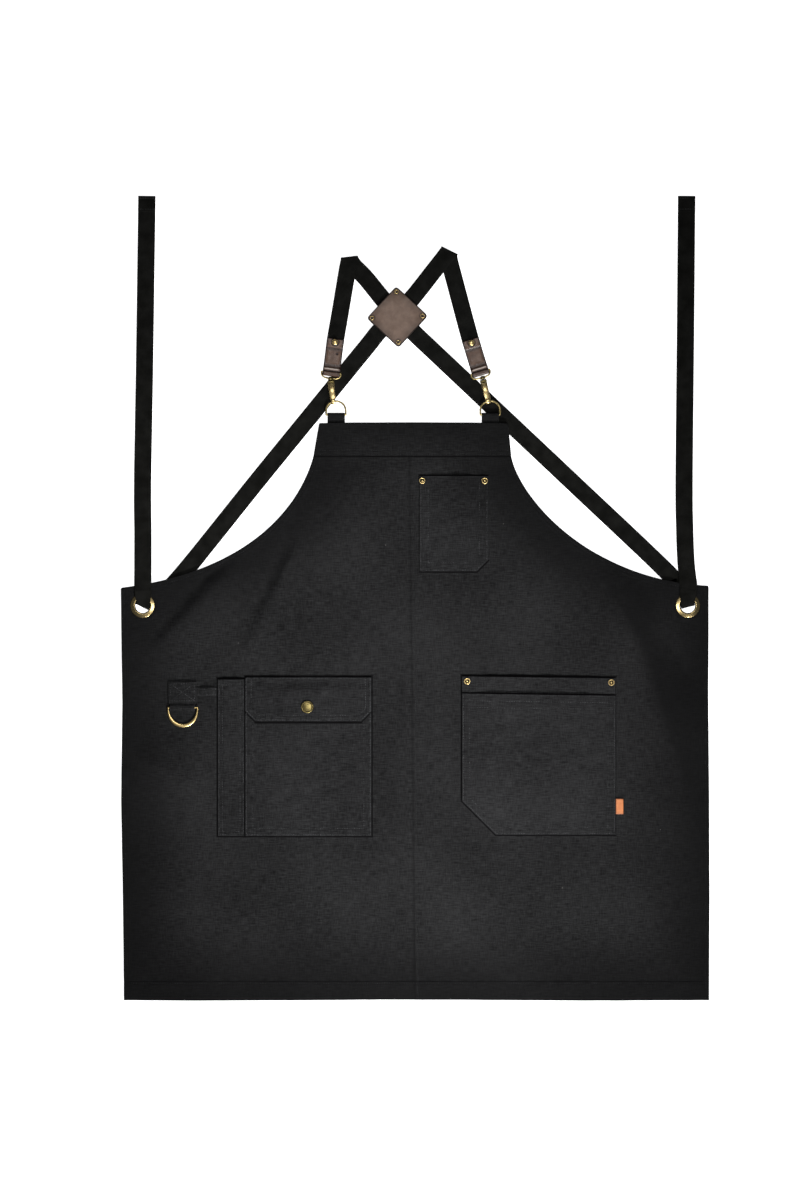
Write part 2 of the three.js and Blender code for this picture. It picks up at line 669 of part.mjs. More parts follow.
// The eye: a flat D of wire whose bar is rolled in the leather, with a drilled boss for the swivel
function buildEye(side, place, tab) {
  const loop = [];
  const { half, wire, bar, foot } = EYE;
  for (const i of range(4)) loop.push([mix(-half, half, (i + 0.5) / 4), bar, wire]);
  const deep = bar + foot;
  for (const i of range(17)) {
    const a = (Math.PI * i) / 16;
    const flat = Math.sign(Math.cos(a)) * Math.abs(Math.cos(a)) ** 0.6;
    loop.push([half * flat, bar - deep * Math.sin(a) ** 0.7, wire]);
  }
  const eyeTurn = Math.atan2(-tab.axis.x, tab.axis.y) + Math.PI;
  const middle = plan(place.tabTop).addScaledVector(tab.axis, tab.bar + bar);
  const wireRing = wireLoop(loop, wire, 6).rotateZ(eyeTurn).translate(middle.x, middle.y, EYE.z);
  const axis = unit(place.swivel, place.nose);
  const swivelTurn = Math.atan2(axis.y, axis.x);
  const alongHook = (profile, segments) =>
    turned(profile, segments, 0, 0)
      .rotateY(Math.PI / 2)
      .rotateZ(swivelTurn)
      .translate(place.swivel[0], place.swivel[1], EYE.z);
  const boss = alongHook([[0, -0.4], [EYE.boss, -0.4], [EYE.boss, 2.4], [0, 2.4]], 8);
  const bore = alongHook([[0, -4], [HOOK.bore, -4], [HOOK.bore, 6], [0, 6]], 8);
  addMesh(`hook_eye_${side}`, cut(join([wireRing, boss]), [bore]), brass());
  return { axis, alongHook };
}

// The hook: a stem with a button, a collar, and a J whose nose covers the lever's tip
function buildHook(side, place, { axis, alongHook }) {
  const stem = alongHook(
    [[0, -2.6], [HOOK.button * 0.7, -2.4], [HOOK.button, -0.7], [HOOK.stem, -0.7], [HOOK.stem, 4.4], [0, 4.4]],
    8,
  );
  const across = vec(-axis.y, axis.x, 0);
  const frame = new THREE.Matrix4().makeBasis(vec(axis.x, axis.y, 0), vec(0, 0, 1), across.clone().negate());
  frame.setPosition(place.swivel[0], place.swivel[1], 0);
  const extruded = (outline, half) => {
    const shape = new THREE.Shape(outline.map(([s, z]) => new THREE.Vector2(s, z)));
    const g = new THREE.ExtrudeGeometry(shape, { depth: 2 * half, bevelEnabled: false });
    return g.translate(0, 0, -half).applyMatrix4(frame);
  };
  const collar = extruded([[3.8, 3.4], [4.6, 2.2], [7.6, 2.2], [7.6, 8], [4.6, 8], [3.8, 6.8]], HOOK.collarHalf);
  const end = plan(place.swivel).distanceTo(plan(place.nose));
  const spineLow = 2.2;
  const spineHigh = 4.2;
  const bend = [
    [-3.6, spineLow],
    [-1, 3],
    [0.9, 5.6],
    [0.9, 8.6],
    [-0.2, 10.4],
    [-2, 11.2],
    [-6.4, 10.9],
    [-6.4, 9.7],
    [-2.4, 9.6],
    [-0.6, 8.4],
    [-0.6, 5.6],
    [-1.6, spineHigh],
  ].map(([s, z]) => [end + s, z]);
  const outline = [[7, spineLow], ...bend, [7, spineHigh]];
  addMesh(`hook_${side}`, join([stem, collar, extruded(outline, HOOK.half)]), brass());
  const tip = end - LEVER.tip;
  const lever = [
    [LEVER.root, 7.9],
    [13, 8.7],
    [19, 9.2],
    [25, 8.8],
    [tip, 8],
    [tip, 9.2],
    [25, 10.2],
    [19, 10.7],
    [13, 10.1],
    [LEVER.root, 9.2],
  ];
  addMesh(`hook_lever_${side}`, closed(extruded(lever, LEVER.half)), brass());
}

// The bib's D ring, with its bar in a canvas tab that goes behind the bib
function buildBibRing(side, place) {
  const { half, wire, reach, leg, barY, barZ, topZ } = BIB_RING;
  const loop = [];
  for (const i of range(4)) loop.push([mix(half, -half, (i + 0.5) / 4), 0, wire]);
  loop.push([-half, 0, wire]);
  for (const i of range(17)) {
    const a = Math.PI * (1 - i / 16);
    loop.push([half * Math.cos(a), leg + (reach - leg) * Math.sin(a), wire]);
  }
  loop.push([half, 0, wire]);
  const ring = addMesh(`bib_ring_${side}`, wireLoop(loop, wire, 6), brass());
  ring.position.set(place.ringX, barY, barZ);
  ring.rotation.x = Math.asin((topZ - barZ) / reach);

  const roll = wire + GAP + CANVAS / 2;
  const start = 204;
  const s = (y) => y - start;
  const low = CANVAS / 2;
  const layers = CANVAS + GAP;
  const overStrap = 2.1 + CANVAS / 2;
  const profile = [
    [s(204), low + layers],
    [s(222), low + layers],
    [s(235), overStrap + layers],
    [s(240), overStrap + layers],
    [s(barY - 3.5), mix(overStrap + layers, barZ + roll, 0.6)],
    [s(barY - 0.5), barZ + roll],
    [s(barY + roll * 0.7), barZ + roll * 0.7],
    [s(barY + roll), barZ],
    [s(barY + roll * 0.7), barZ - roll * 0.7],
    [s(barY - 0.5), barZ - roll],
    [s(240), overStrap],
    [s(235), overStrap],
    [s(222), low],
    [s(204), low],
  ].map((p) => [...p, BIB_TAB_HALF]);
  const tab = bentStrip(vec(place.bibTabX, start, 0), vec(0, 1, 0), profile, CANVAS);
  addMesh(`bib_tab_${side}`, tab, canvas());
}

// Straps

const UP = vec(0, 0, 1);

// Sections square to the route; flip is 1 while the webbing's outer face is up, and -1 while it is down
function straightSections(points, flip) {
  return points.map(({ at, z, half = WEBBING.half }, i) => {
    const before = points[Math.max(0, i - 1)];
    const after = points[Math.min(points.length - 1, i + 1)];
    const travel = unit(before.at, after.at);
    const left = vec(-travel.y, travel.x, 0);
    const middle = vec(at[0], at[1], z);
    const edges = [1, -1].map((sign) => middle.clone().addScaledVector(left, sign * flip * half));
    return { edges, normal: vec(0, 0, flip) };
  });
}

// A turn over a crease: the webbing comes along one direction, goes round, and leaves along another
function creaseSections(centre, arriving, leaving, half, fromZ, toZ, flip) {
  const crease = arriving.clone().add(leaving).normalize();
  const lean = Math.abs(arriving.x * crease.y - arriving.y * crease.x);
  const reach = half / Math.max(lean, 0.5);
  const left = new THREE.Vector2(-arriving.y, arriving.x);
  const side = Math.sign(crease.dot(left)) * flip;
  const outward = new THREE.Vector2(-crease.y, crease.x);
  if (outward.dot(arriving) < 0) outward.negate();
  const radius = Math.abs(toZ - fromZ) / 2;
  const climb = Math.sign(toZ - fromZ);
  const axis = vec(centre[0], centre[1], (fromZ + toZ) / 2);
  return [-90, -45, 0, 45, 90].map((degrees) => {
    const a = THREE.MathUtils.degToRad(degrees);
    const out = vec(outward.x, outward.y, 0).multiplyScalar(Math.cos(a));
    const radial = out.addScaledVector(UP, climb * Math.sin(a));
    const middle = axis.clone().addScaledVector(radial, radius);
    const along = vec(crease.x, crease.y, 0);
    const edges = [1, -1].map((sign) => middle.clone().addScaledVector(along, sign * side * reach));
    return { edges, normal: radial.clone().multiplyScalar(-climb * flip) };
  });
}

// A point a given distance from a towards b
function towards(a, b, distance) {
  const step = unit(a, b).multiplyScalar(distance);
  return [a[0] + step.x, a[1] + step.y];
}

function strapSections(place, route) {
  const patch = [PATCH.x, PATCH.y];
  const frontAtFold = route.frontOnTop ? UPPER_LEVEL : FLOOR_LEVEL;
  const backAtFold = route.frontOnTop ? FLOOR_LEVEL : UPPER_LEVEL;
  const tabAxis = unit(place.tabTop, place.tabFoot);
  const tucked = plan(place.tabTop).addScaledVector(tabAxis, 7.5).toArray();
  const front = [
    { at: tucked, z: TAB_LEVEL },
    { at: towards(place.tabTop, route.fold, 3), z: TAB_LEVEL },
    { at: towards(place.tabTop, route.fold, 26), z: FLOOR_LEVEL + 0.5 },
    { at: towards(place.tabTop, route.fold, 50), z: FLOOR_LEVEL },
    { at: towards(route.fold, place.tabTop, 36), z: frontAtFold },
    { at: towards(route.fold, place.tabTop, 14), z: frontAtFold },
  ];
  const goingUp = unit(place.tabTop, route.fold);
  const goingBack = unit(route.fold, patch);
  const turn = creaseSections(route.fold, goingUp, goingBack, WEBBING.half, frontAtFold, backAtFold, 1);

  const grommetSide = Math.sign(route.past[0]);
  const grommet = [grommetSide * GROMMET.x, GROMMET.y];
  const beforePatch = PATCH.half + 3;
  const arriving = unit(route.bodyEdge, grommet);
  const bend = creaseCentre(grommet, arriving);
  const back = [
    { at: towards(route.fold, patch, 14), z: backAtFold },
    { at: towards(route.fold, patch, 36), z: backAtFold },
    { at: towards(patch, route.fold, beforePatch), z: route.crossing },
    { at: patch, z: route.crossing },
    { at: towards(patch, route.past, beforePatch), z: route.crossing },
    { at: towards(patch, route.past, beforePatch + 26), z: FLOOR_LEVEL },
    { at: towards(patch, route.past, beforePatch + 150), z: FLOOR_LEVEL },
    { at: route.past, z: FLOOR_LEVEL },
    { at: route.bodyEdge, z: FLOOR_LEVEL },
    { at: towards(grommet, route.bodyEdge, 30), z: FLOOR_LEVEL, half: 10.5 },
    { at: towards(bend, route.bodyEdge, 11), z: FLOOR_LEVEL, half: GROMMET_SQUEEZE },
  ];
  const leaving = unit(bend, route.tie[0]);
  const round = creaseSections(bend, arriving, leaving, GROMMET_SQUEEZE, FLOOR_LEVEL, TIE_LEVEL, -1);
  const tie = [
    { at: towards(bend, route.tie[0], 10), z: TIE_LEVEL, half: 9.6 },
    { at: towards(bend, route.tie[0], 17), z: TIE_LEVEL, half: 10.6 },
    ...route.tie.map((at, i) => ({ at, z: TIE_LEVELS[i] })),
  ];
  return [
    ...straightSections(front, 1),
    ...turn,
    ...straightSections(back, -1),
    ...round,
    ...straightSections(tie, 1),
  ];
}

// The turn's axis stands back from the hole's middle, so that the webbing fills the hole's upper half
function creaseCentre(grommet, arriving) {
  const crease = arriving.clone().add(new THREE.Vector2(0, 1)).normalize();
  const outward = new THREE.Vector2(-crease.y, crease.x);
  if (outward.dot(arriving) < 0) outward.negate();
  const SET_BACK = 5;
  return [grommet[0] - outward.x * SET_BACK, grommet[1] - outward.y * SET_BACK];
}

function buildStrap(side) {
  const place = SIDES[side];
  const sheet = ribbon(strapSections(place, STRAPS[side]), WEBBING.thick);
  const hole = drill(...place.rivet, TAB_RIVET.shaft + GAP, 3, 7);
  addMesh(`strap_${side}`, cut(sheet, [hole]), webbing());
}

// Back patch: two leather squares, the front one bent down to the back one between the straps

function buildPatch() {
  const { half, strapHalf, foot, backThick } = PATCH;
  const ticks = [-half, -foot, -strapHalf, 0, strapHalf, foot, half];
  const trim = 1.6;
  const turn = THREE.MathUtils.degToRad(PATCH.turn);
  const place = (a, b) => {
    const pull = Math.abs(a) === half && Math.abs(b) === half ? trim : 0;
    const [p, q] = [a - Math.sign(a) * pull, b - Math.sign(b) * pull];
    const x = PATCH.x + p * Math.cos(turn) - q * Math.sin(turn);
    return [x, PATCH.y + p * Math.sin(turn) + q * Math.cos(turn)];
  };
  const down = (d) => 1 - clamp((Math.abs(d) - strapHalf) / (foot - strapHalf));
  const corner = backThick + GAP;
  const lowerTop = STRAPS.left.crossing + FLOOR_LEVEL + GAP;
  const upperTop = STRAPS.right.crossing + FLOOR_LEVEL + GAP;
  const frontLow = (a, b) => Math.max(corner, mix(corner, upperTop, down(b)), mix(corner, lowerTop, down(a)));
  const grid = (heightAt) => ticks.map((b) => ticks.map((a) => vec(...place(a, b), heightAt(a, b))));
  const front = slab(grid(frontLow), grid((a, b) => frontLow(a, b) + LEATHER));
  const back = slab(grid(() => 0), grid(() => backThick));

  const corners = [["north", 1, 1], ["west", -1, 1], ["south", -1, -1], ["east", 1, -1]];
  const spots = corners.map(([name, a, b]) => [name, ...place(a * PATCH.rivet, b * PATCH.rivet)]);
  const frontHoles = spots.map(([, x, y]) => drill(x, y, PATCH_RIVET.shaft + GAP, 1, 6));
  const backHoles = spots.map(([, x, y]) => tailHole(PATCH_RIVET, x, y, 0, backThick));
  addMesh("patch_front", cut(front, frontHoles), leather());
  addMesh("patch_back", cut(back, backHoles), leather());
  const levels = { tail: 0, tailDeep: backThick, seat: corner + LEATHER + GAP };
  for (const [name, x, y] of spots) rivet(`patch_rivet_${name}`, PATCH_RIVET, x, y, levels);
}

buildBody();
buildChestPocket();
buildPenPocket();
buildFlapPouch();
buildHandPocket();
buildToolRing();
buildToolLoop();
buildSideTag();
buildGrommets();
for (const [side, place] of Object.entries(SIDES)) {
  const tab = buildLeatherTab(side, place);
  const swivel = buildEye(side, place, tab);
  buildHook(side, place, swivel);
  buildBibRing(side, place);
  buildStrap(side);
}
buildPatch();

export default apron;
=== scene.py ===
"""A cross-back bib apron of black canvas, lying flat with its front up, dressed around its solids."""
import math
from contextlib import contextmanager

import bmesh
import bpy
import numpy as np
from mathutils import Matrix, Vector


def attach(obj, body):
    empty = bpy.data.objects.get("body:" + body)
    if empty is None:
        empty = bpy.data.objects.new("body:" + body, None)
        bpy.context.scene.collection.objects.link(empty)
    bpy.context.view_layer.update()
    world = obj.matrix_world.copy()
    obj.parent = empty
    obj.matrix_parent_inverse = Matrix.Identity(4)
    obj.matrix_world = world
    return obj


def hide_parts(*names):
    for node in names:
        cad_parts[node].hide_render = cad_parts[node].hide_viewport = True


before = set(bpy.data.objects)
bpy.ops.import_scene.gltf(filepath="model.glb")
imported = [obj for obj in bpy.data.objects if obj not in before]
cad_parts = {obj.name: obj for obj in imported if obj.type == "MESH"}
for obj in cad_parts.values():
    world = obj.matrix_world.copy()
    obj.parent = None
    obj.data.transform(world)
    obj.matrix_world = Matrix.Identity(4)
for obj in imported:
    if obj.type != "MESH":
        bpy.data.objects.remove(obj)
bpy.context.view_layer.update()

# Sizes are millimetres, as on the solids, and pieces are scaled to metres when they are made
MM = 0.001
GAP = 0.3
CANVAS = 1.2
ON_BODY = CANVAS + GAP
WEBBING = {"half": 11.8, "thick": 1.8}
LEATHER = 1.5
HALF_LENGTH = 547
HEM = {"top": -521, "thick": 2.2, "wave": 1.2, "low_at": 250, "period": 520, "row": 2}
HEM_ROW_ENDS = (-394, 397)
NARROW_HEM = {"width": 8, "extra": 0.5, "row": 5}
BAND_BOTTOM = 193.4

# Body outline: the side edges by height, then one curve for each armhole, then the bib's sides
SIDE_LEVELS = [-547, -410, -275, -140, 13]
SIDE_EDGES = {
    "left": [-396, -397.4, -399.8, -398.2, -400],
    "right": [399.4, 400, 399.6, 398.3, 398.6],
}
ARMHOLES = {
    "left": [(-398, 14.5), (-235.7, 34.8), (-159.3, 116), (-138.4, 193.4)],
    "right": [(398.2, 17), (234.9, 25.3), (140.5, 137.6), (130.6, 193.4)],
}
BIB_CORNERS = {"left": (-130.5, 237.8), "right": (126, 237.8)}
BIB_CORNER_ROUND = {"left": 1.5, "right": 5}
BIB_BOW = 1.4
BIB_TALL = BIB_CORNERS["left"][1] - BAND_BOTTOM
BAND_ROWS = (2.2, 7.5)
BAND_ROW_ENDS = (-134, 127)
SEAM = {"levels": [-547, -150, 240], "x": [1, -2.3, -7], "ridge": 0.5, "wide": 1.6, "row": 2.8}
# Painted shade just left of the seam's ridge and painted highlight just right of it, as (place, depth,
# width)
SEAM_PAINTED_SHADING = [(-1.6, 0.5, 2.2), (2, -0.3, 1.6)]

# What lies under the cloth and lifts it: a flat rise along a line, then a slope down to the floor
GROMMET_LIFT = 3.2
UNDERLAYS = [
    {"from": (-370.3, -10), "to": (-319, 30), "clear": GROMMET_LIFT, "reach": 46, "fade": 70},
    {"from": (370.3, -10), "to": (344, 34), "clear": GROMMET_LIFT, "reach": 46, "fade": 70},
    {"from": (122, 242), "to": (128, 226), "clear": 2.2, "reach": 20, "fade": 36},
    {"from": (-107.2, 244), "to": (-107.2, 226), "clear": 5.2, "reach": 19, "fade": 38},
    {"from": (102.2, 244), "to": (102.2, 226), "clear": 5.2, "reach": 19, "fade": 38},
]

# Folds in the cloth: widths left and right of the crest, how sharp the crest is, and the shade past it
FOLDS = [
    {"from": (-150, 100), "to": (-242, -100), "height": 6.5, "widths": (34, 14), "crisp": 0.5},
    {"from": (-222, 70), "to": (-378, -96), "height": 10.5, "widths": (64, 24), "crisp": 0.1},
    {"from": (226, 140), "to": (392, -290), "height": 9.5, "widths": (60, 29), "crisp": 0.2, "shade": 0.8},
    {"from": (-384, -205), "to": (-280, -268), "height": 6, "widths": (46, 22), "crisp": 0.2},
    {"from": (-372, -395), "to": (-180, -455), "height": 3, "widths": (50, 34), "crisp": 0.1},
    {"from": (-120, 20), "to": (-60, -96), "height": 2.5, "widths": (30, 20), "crisp": 0.15},
]
FOLD_FADE = 0.35
FOLD_CREST = 0.16
FOLD_SHADE = {"shift": 6, "near": 12, "far": 26, "from": 0.15, "to": 1.05}
RIPPLE = 1.5
CRUMPLE = 0.35

# Sewn edges: how they are rounded, the panels' turned-in cloth, and the hollows that stitch rows pull in
EDGE_ROUND = {"body": 0.7, "band": 0.9, "panel": 0.8, "leather": 0.8}
TURNED_IN = {"sides": 12, "mouth": 24, "slope": 3}
ROW_ENDS = {"sewn": 2, "mouth": 3}
ROW_WIDE = 0.9
ROW_DEPTH = {"side": 0.3, "hem": 0.35, "band": 0.32, "sewn": 0.34, "mouth": 0.3}

# Pockets: edge is the flat margin along the sewn sides, ramp the slope up to the slack mouth
CHEST = {"left": 5.7, "right": 99.3, "bottom": 36.2, "top": 166.6, "edge": 10, "ramp": 18, "swell": 1.4}
PEN = {
    "left": -268.5, "right": -231.6, "bottom": -323.4, "top": -109.8, "edge": 1.5, "ramp": 9, "swell": 1.6,
}
POUCH = {"left": -231.2, "right": -59.3, "bottom": -323.4, "top": -130, "edge": 6, "ramp": 26, "swell": 2}
HAND = {"left": 63.4, "right": 272.3, "bottom": -321.6, "top": -107, "edge": 13, "ramp": 30, "swell": 1.8}
HAND_FRONT = {**HAND, "top": -130.5}
FLAP = {**POUCH, "bottom": -167.6, "top": -107.2, "rise_end": -128}
CHAMFERS = {"chest": (0, 15.5), "hand": (46, 0), "flap": (14, 14), "none": (0, 0)}
SWELL_FLAT_FROM = 0.6
TILTS = {"hand_back": -1.3, "hand_front": -1.5}
BAND_AREA = {"left": -600, "right": 600, "bottom": BAND_BOTTOM, "top": 600}

# Painted shade lines along panel edges, for the dark crevice beside them: how far out from the edge a line
# reaches, and how dark it is
EDGE_SHADE_LINES = {"none": (0.5, 0), "faint": (1.0, 0.5), "plain": (1.6, 0.9), "heavy": (2.7, 0.97)}
PANEL_OUTLINES = [
    {"shape": CHEST, "cuts": CHAMFERS["chest"], "tilt": 0, "rim": 0.25,
     "lines": {"top": "plain", "left": "faint", "right": "none"}},
    {"shape": PEN, "cuts": CHAMFERS["none"], "tilt": 0, "rim": 0.5,
     "lines": {"top": "heavy", "right": "none"}},
    {"shape": {**POUCH, "top": FLAP["top"]}, "cuts": CHAMFERS["none"], "tilt": 0, "rim": 0.8,
     "lines": {"top": "none"}},
    {"shape": HAND, "cuts": CHAMFERS["hand"], "tilt": TILTS["hand_back"], "rim": 0.5,
     "lines": {"top": "heavy", "right": "faint"}},
    {"shape": HAND_FRONT, "cuts": CHAMFERS["hand"], "tilt": TILTS["hand_front"], "rim": 0.5,
     "lines": {"left": "none", "right": "none", "bottom": "none", "cut": "none"}},
    {"shape": FLAP, "cuts": CHAMFERS["flap"], "tilt": 0, "rim": 1.0,
     "lines": {"top": "heavy", "bottom": "heavy"}},
    {"shape": BAND_AREA, "cuts": CHAMFERS["none"], "tilt": 0, "rim": 0.0, "lines": {}},
]
SHADE_LINE_MIDDLE = 0.36
SHADE_LINE_OVERLAP = 0.4
PANEL_RIM = {"at": -1.2, "full": 0.3, "gone": 1.2}

# Fasteners
JEANS_RIVETS = {
    "chest_rivet_left": (9.5, 159.7),
    "chest_rivet_right": (94.5, 159.7),
    "hand_rivet_left": (70.7, -112.9),
    "hand_rivet_right": (266.6, -114.6),
}
SNAP = {"x": -146.6, "y": -147.7, "post": 2.2}
EYELET_HOLE = 12.8
GROMMET = {"x": 370.3, "y": -10, "flat": 20, "fade": 25}

# Tool ring on its sewn tab, the loop beside it, and the leather tag
RING_TAB = {"x": -316.5, "top": -113.2, "half": 19.3, "loop_half": 17, "sewn": 29, "box": (3, 26)}
TOOL_RING = {
    "x": -315.7, "y": -148.5, "z": 4.3, "half": 19.9, "reach": 24.7, "wire": 1.3, "belly": 2.6, "tilt": 3.2,
}
TOOL_LOOP = {"left": -296.9, "right": -268.8, "y": -127, "half": 5.6, "foot": 4, "slope": 3.5, "rise": 1.8}
SIDE_TAG = {"left": 272.6, "right": 283, "y": -283, "half": 10.5, "thick": 1}

# Areas where something sewn on keeps the body's cloth flat, and the width over which its waves come back
COVERED = [
    (CHEST, 25),
    ({**PEN, "right": POUCH["right"], "top": FLAP["top"]}, 25),
    ({**HAND, "right": SIDE_TAG["right"]}, 25),
    ({"left": -336, "right": -268, "bottom": -176, "top": -111}, 20),
    ({"left": -200, "right": 200, "bottom": BAND_BOTTOM, "top": 260}, 20),
]

# Shoulder hardware, from the leather tab down to the bib
SIDES = {
    "left": {
        "tab_top": (-108.1, 352.2), "tab_foot": (-114.2, 304.9), "rivet": (-108.9, 347.4),
        "swivel": (-115.2, 299.7), "nose": (-111, 264.1), "ring_x": -107.7, "bib_tab_x": -107.4,
    },
    "right": {
        "tab_top": (74.8, 351.3), "tab_foot": (88.8, 305.6), "rivet": (76.2, 346.5),
        "swivel": (91.3, 300.6), "nose": (99.7, 264.4), "ring_x": 101.7, "bib_tab_x": 102,
    },
}
TAB_HALF = 11.8
EYE = {"half": 13.2, "wire": 1.2, "bar": 7, "foot": 1, "z": 5.1, "past_tab": -1.6}
TAB_SLACK = 2.2

# Marks on the leather tabs, by distance along: grooves, and bands of painted shade, as (place, depth,
# width)
TAB_GROOVES = [(38.3, 0.3, 1.2), (44.6, 0.6, 1.1)]
TAB_SHADE_BANDS = [(14.6, 0.6, 1.8), (36.6, 0.75, 2.1), (45, 0.9, 1.6)]
TAB_RIDGE = 41.6
TAB_STEP = 13
TAB_RIVET = 4.8
TAB_PUNCH = {"side": "left", "along": 20.3, "across": 4.6}
BIB_RING = {"half": 13.4, "wire": 1.3, "bar_y": 249.3, "bar_z": 5, "top_z": 6, "reach": 18.4, "leg": 5}
HOOK = {"half": 3.1, "collar_half": 4.6, "stem": 1.2, "button": 2.4}
LEVER = {"root_half": 4.3, "tip_half": 3.6, "root": 7.9, "tip": 5.4, "middle": (13, 19, 25)}
LEVER_TOP = (9.2, 10.1, 10.7, 10.2, 9.2)
LEVER_LOW = (7.9, 8.7, 9.2, 8.8, 8.0)
BIB_TAB = {"half": 11.8, "foot": 204, "bend": 222, "step": 235, "top": 240, "over": 2.1}
PATCH = {
    "x": -24.3, "y": 382, "half": 29.5, "turn": 47.2, "rivet": 24.2,
    "back_thick": 2, "strap_half": 5, "foot": 29, "corner": 4, "stand_off": 1.8,
}
PATCH_MIDDLE = np.array([PATCH["x"], PATCH["y"]])

# The two straps: route points on the floor plan, with the height of the webbing's middle
FLOOR_LEVEL = WEBBING["thick"] / 2
UPPER_LEVEL = FLOOR_LEVEL + WEBBING["thick"] + GAP
TAB_LEVEL = 4.8
TIE_LEVEL = 7.5
TIE_END = HALF_LENGTH - 0.1
TIE_LEVELS = [5.9, 3.3, FLOOR_LEVEL, FLOOR_LEVEL, FLOOR_LEVEL, FLOOR_LEVEL]
TIE_HEM = {"long": 21, "extra": 0.45}
TIE_ROWS = (18, 3)
RIB_PITCH = 1.84
RIB_STEP = RIB_PITCH / 4
RIB_HEIGHT = 0.06
TOOTH = 0.22
GROMMET_SQUEEZE = 9
GROMMET_SET_BACK = 2
STRAPS = {
    "left": {
        "fold": (-89.4, 462.6), "crease_turn": -8, "crease_share": 0.96, "front_on_top": True,
        "crossing": PATCH["back_thick"] + GAP + FLOOR_LEVEL,
        "front_shift": (0, 0), "back_shift": (-1.8, -1.2),
        "leave": (-0.6, 359.7), "past": (210.4, 160.8), "body_edge": (343.8, 34.3),
        "tie": [(371, 19), (368, 48), (366.5, 90), (365.6, 160), (367.6, 374), (369, TIE_END)],
    },
    "right": {
        "fold": (46.2, 471.4), "crease_turn": -14, "crease_share": 0.8, "front_on_top": False,
        "crossing": PATCH["back_thick"] + GAP + UPPER_LEVEL,
        "front_shift": (-3.2, 0), "back_shift": (0, 0),
        "leave": (-50, 361.5), "past": (-213.6, 160.8), "body_edge": (-319.6, 29.5),
        "tie": [(-370, 19), (-370, 48), (-370.2, 90), (-370.6, 160), (-368, 318), (-364.8, TIE_END)],
    },
}

# Points closer than WELD are merged, and edges that turn by more than SHARP (an angle) are rounded
WELD = 0.001
SHARP = 0.5

# Grid steps from an edge inward, close together where hems and stitch rows need them
EDGE_STEPS = [0, 0.25, 0.6, 1.1, 1.7, 2.3, 3, 3.8, 4.6, 5.4, 6.3, 7.2, 8, 8.8, 9.8, 11.5]
SEAM_STEPS = [0.5, 1.1, 1.8, 2.6, 3.5, 5, 7]
HEM_STEPS = [0, 0.3, 0.8, 1.6, 2.8, 5, 8, 12, 16, 20, 22, 23, 24, 25, 25.7, 26.3, 27, 28.5, 31]
BAND_STEPS = [0, 0.3, 0.8, 1.4, 2.2, 3, 4, 5.2, 6.4, 7.5, 8.6, 10]
BIB_TOP_STEPS = [5, 4, 3, 2, 1.3, 0.7, 0.25, 0]
PATCH_STEPS = [0, 0.3, 0.7, 1.2, 1.8, 2.6]
HALF_COLUMNS = 66
SIDE_ROWS = 116
ARMHOLE_ROWS = 60

# Stitches
STITCH = {"pitch": 3.3, "long": 2.5, "radius": 0.3, "sides": 6, "flat": 1.25, "stray": 0.1, "lift": 0.02}
STITCH_RINGS = [(-1, 0.35, -0.3), (-0.6, 0.9, -0.05), (0, 1.0, 0.0), (0.6, 0.9, -0.05), (1, 0.35, -0.3)]

# The weave's pitch in metres, the painted light falloff from the apron's outline inward, and the painted
# highlight colour on leather crests
THREAD_PITCH = 0.0009
PAINTED_FALLOFF = {"reach": 110, "border": 0.25, "top": 28}
LEATHER_PAINTED_HIGHLIGHT = (0.42, 0.36, 0.32)

# Camera and photograph: the frame is 1200 pixels tall, each covering this many millimetres
PIXEL = 1.36
FRAME_TALL = 1200
LENS = 90
SENSOR = 36
VIEW_CENTRE = (-20.7, -2.4)

# Stage, in metres and watts
FLOOR = {"reach": 30, "z": -0.0004, "glow": 0.9}
WORLD = {"Color": (0.9, 0.95, 1.0, 1), "Strength": 0.12}
KEY_LIGHT = {"place": (0.7, -2.5, 1.8), "target": (0, -0.28, 0), "cone": 22, "radius": 0.35, "power": 1010}
AREA_LIGHTS = {
    "low": {"place": (0, -0.1, 0.75), "target": (0, -0.1, 0), "size": (0.3, 0.3), "power": 3},
    "fill": {"place": (0, -0.4, 3.6), "target": (0, 0, 0), "size": (2.4, 2.4), "power": 10},
    "top": {"place": (-0.05, 0.8, 3.4), "target": (0, 0.2, 0), "size": (0.8, 0.6), "power": 18.5},
}


# Small helpers

def smooth(t):
    t = np.clip(t, 0, 1)
    return t * t * (3 - 2 * t)


def round_off(inside):
    """The height of a quarter circle, from 0 at an edge to 1."""
    return np.sqrt(1 - (1 - np.clip(inside, 0, 1)) ** 2)


def bump(d, width):
    return np.exp(-((d / width) ** 2))


def marks(s, places):
    """Soft lines at distances along s, each given as (place, depth, width)."""
    return sum(depth * bump(s - at, wide) for at, depth, wide in places)


def mix(a, b, t):
    return a + (b - a) * t


def unit(v):
    v = np.asarray(v, float)
    return v / np.linalg.norm(v)


def wave_field(seed, count, shortest, longest):
    """A smooth random surface: plane waves of many directions, with a spread of about one."""
    rng = np.random.default_rng(seed)
    turn = rng.uniform(0, 2 * np.pi, count)
    length = rng.uniform(shortest, longest, count)
    phase = rng.uniform(0, 2 * np.pi, count)
    kx = 2 * np.pi * np.cos(turn) / length
    ky = 2 * np.pi * np.sin(turn) / length

    def field(x, y):
        waves = [np.sin(kx[i] * x + ky[i] * y + phase[i]) for i in range(count)]
        return sum(waves) / math.sqrt(count / 2)

    return field


broad_waves = wave_field(3, 14, 90, 240)
fine_waves = wave_field(11, 16, 22, 60)
pucker_waves = wave_field(17, 14, 5.5, 10)


def near_line(x, y, start, end):
    """The share of the way along a straight line, and the distance from it."""
    (ax, ay), (bx, by) = start, end
    t = ((x - ax) * (bx - ax) + (y - ay) * (by - ay)) / ((bx - ax) ** 2 + (by - ay) ** 2)
    s = np.clip(t, 0, 1)
    return t, np.hypot(x - ax - s * (bx - ax), y - ay - s * (by - ay))


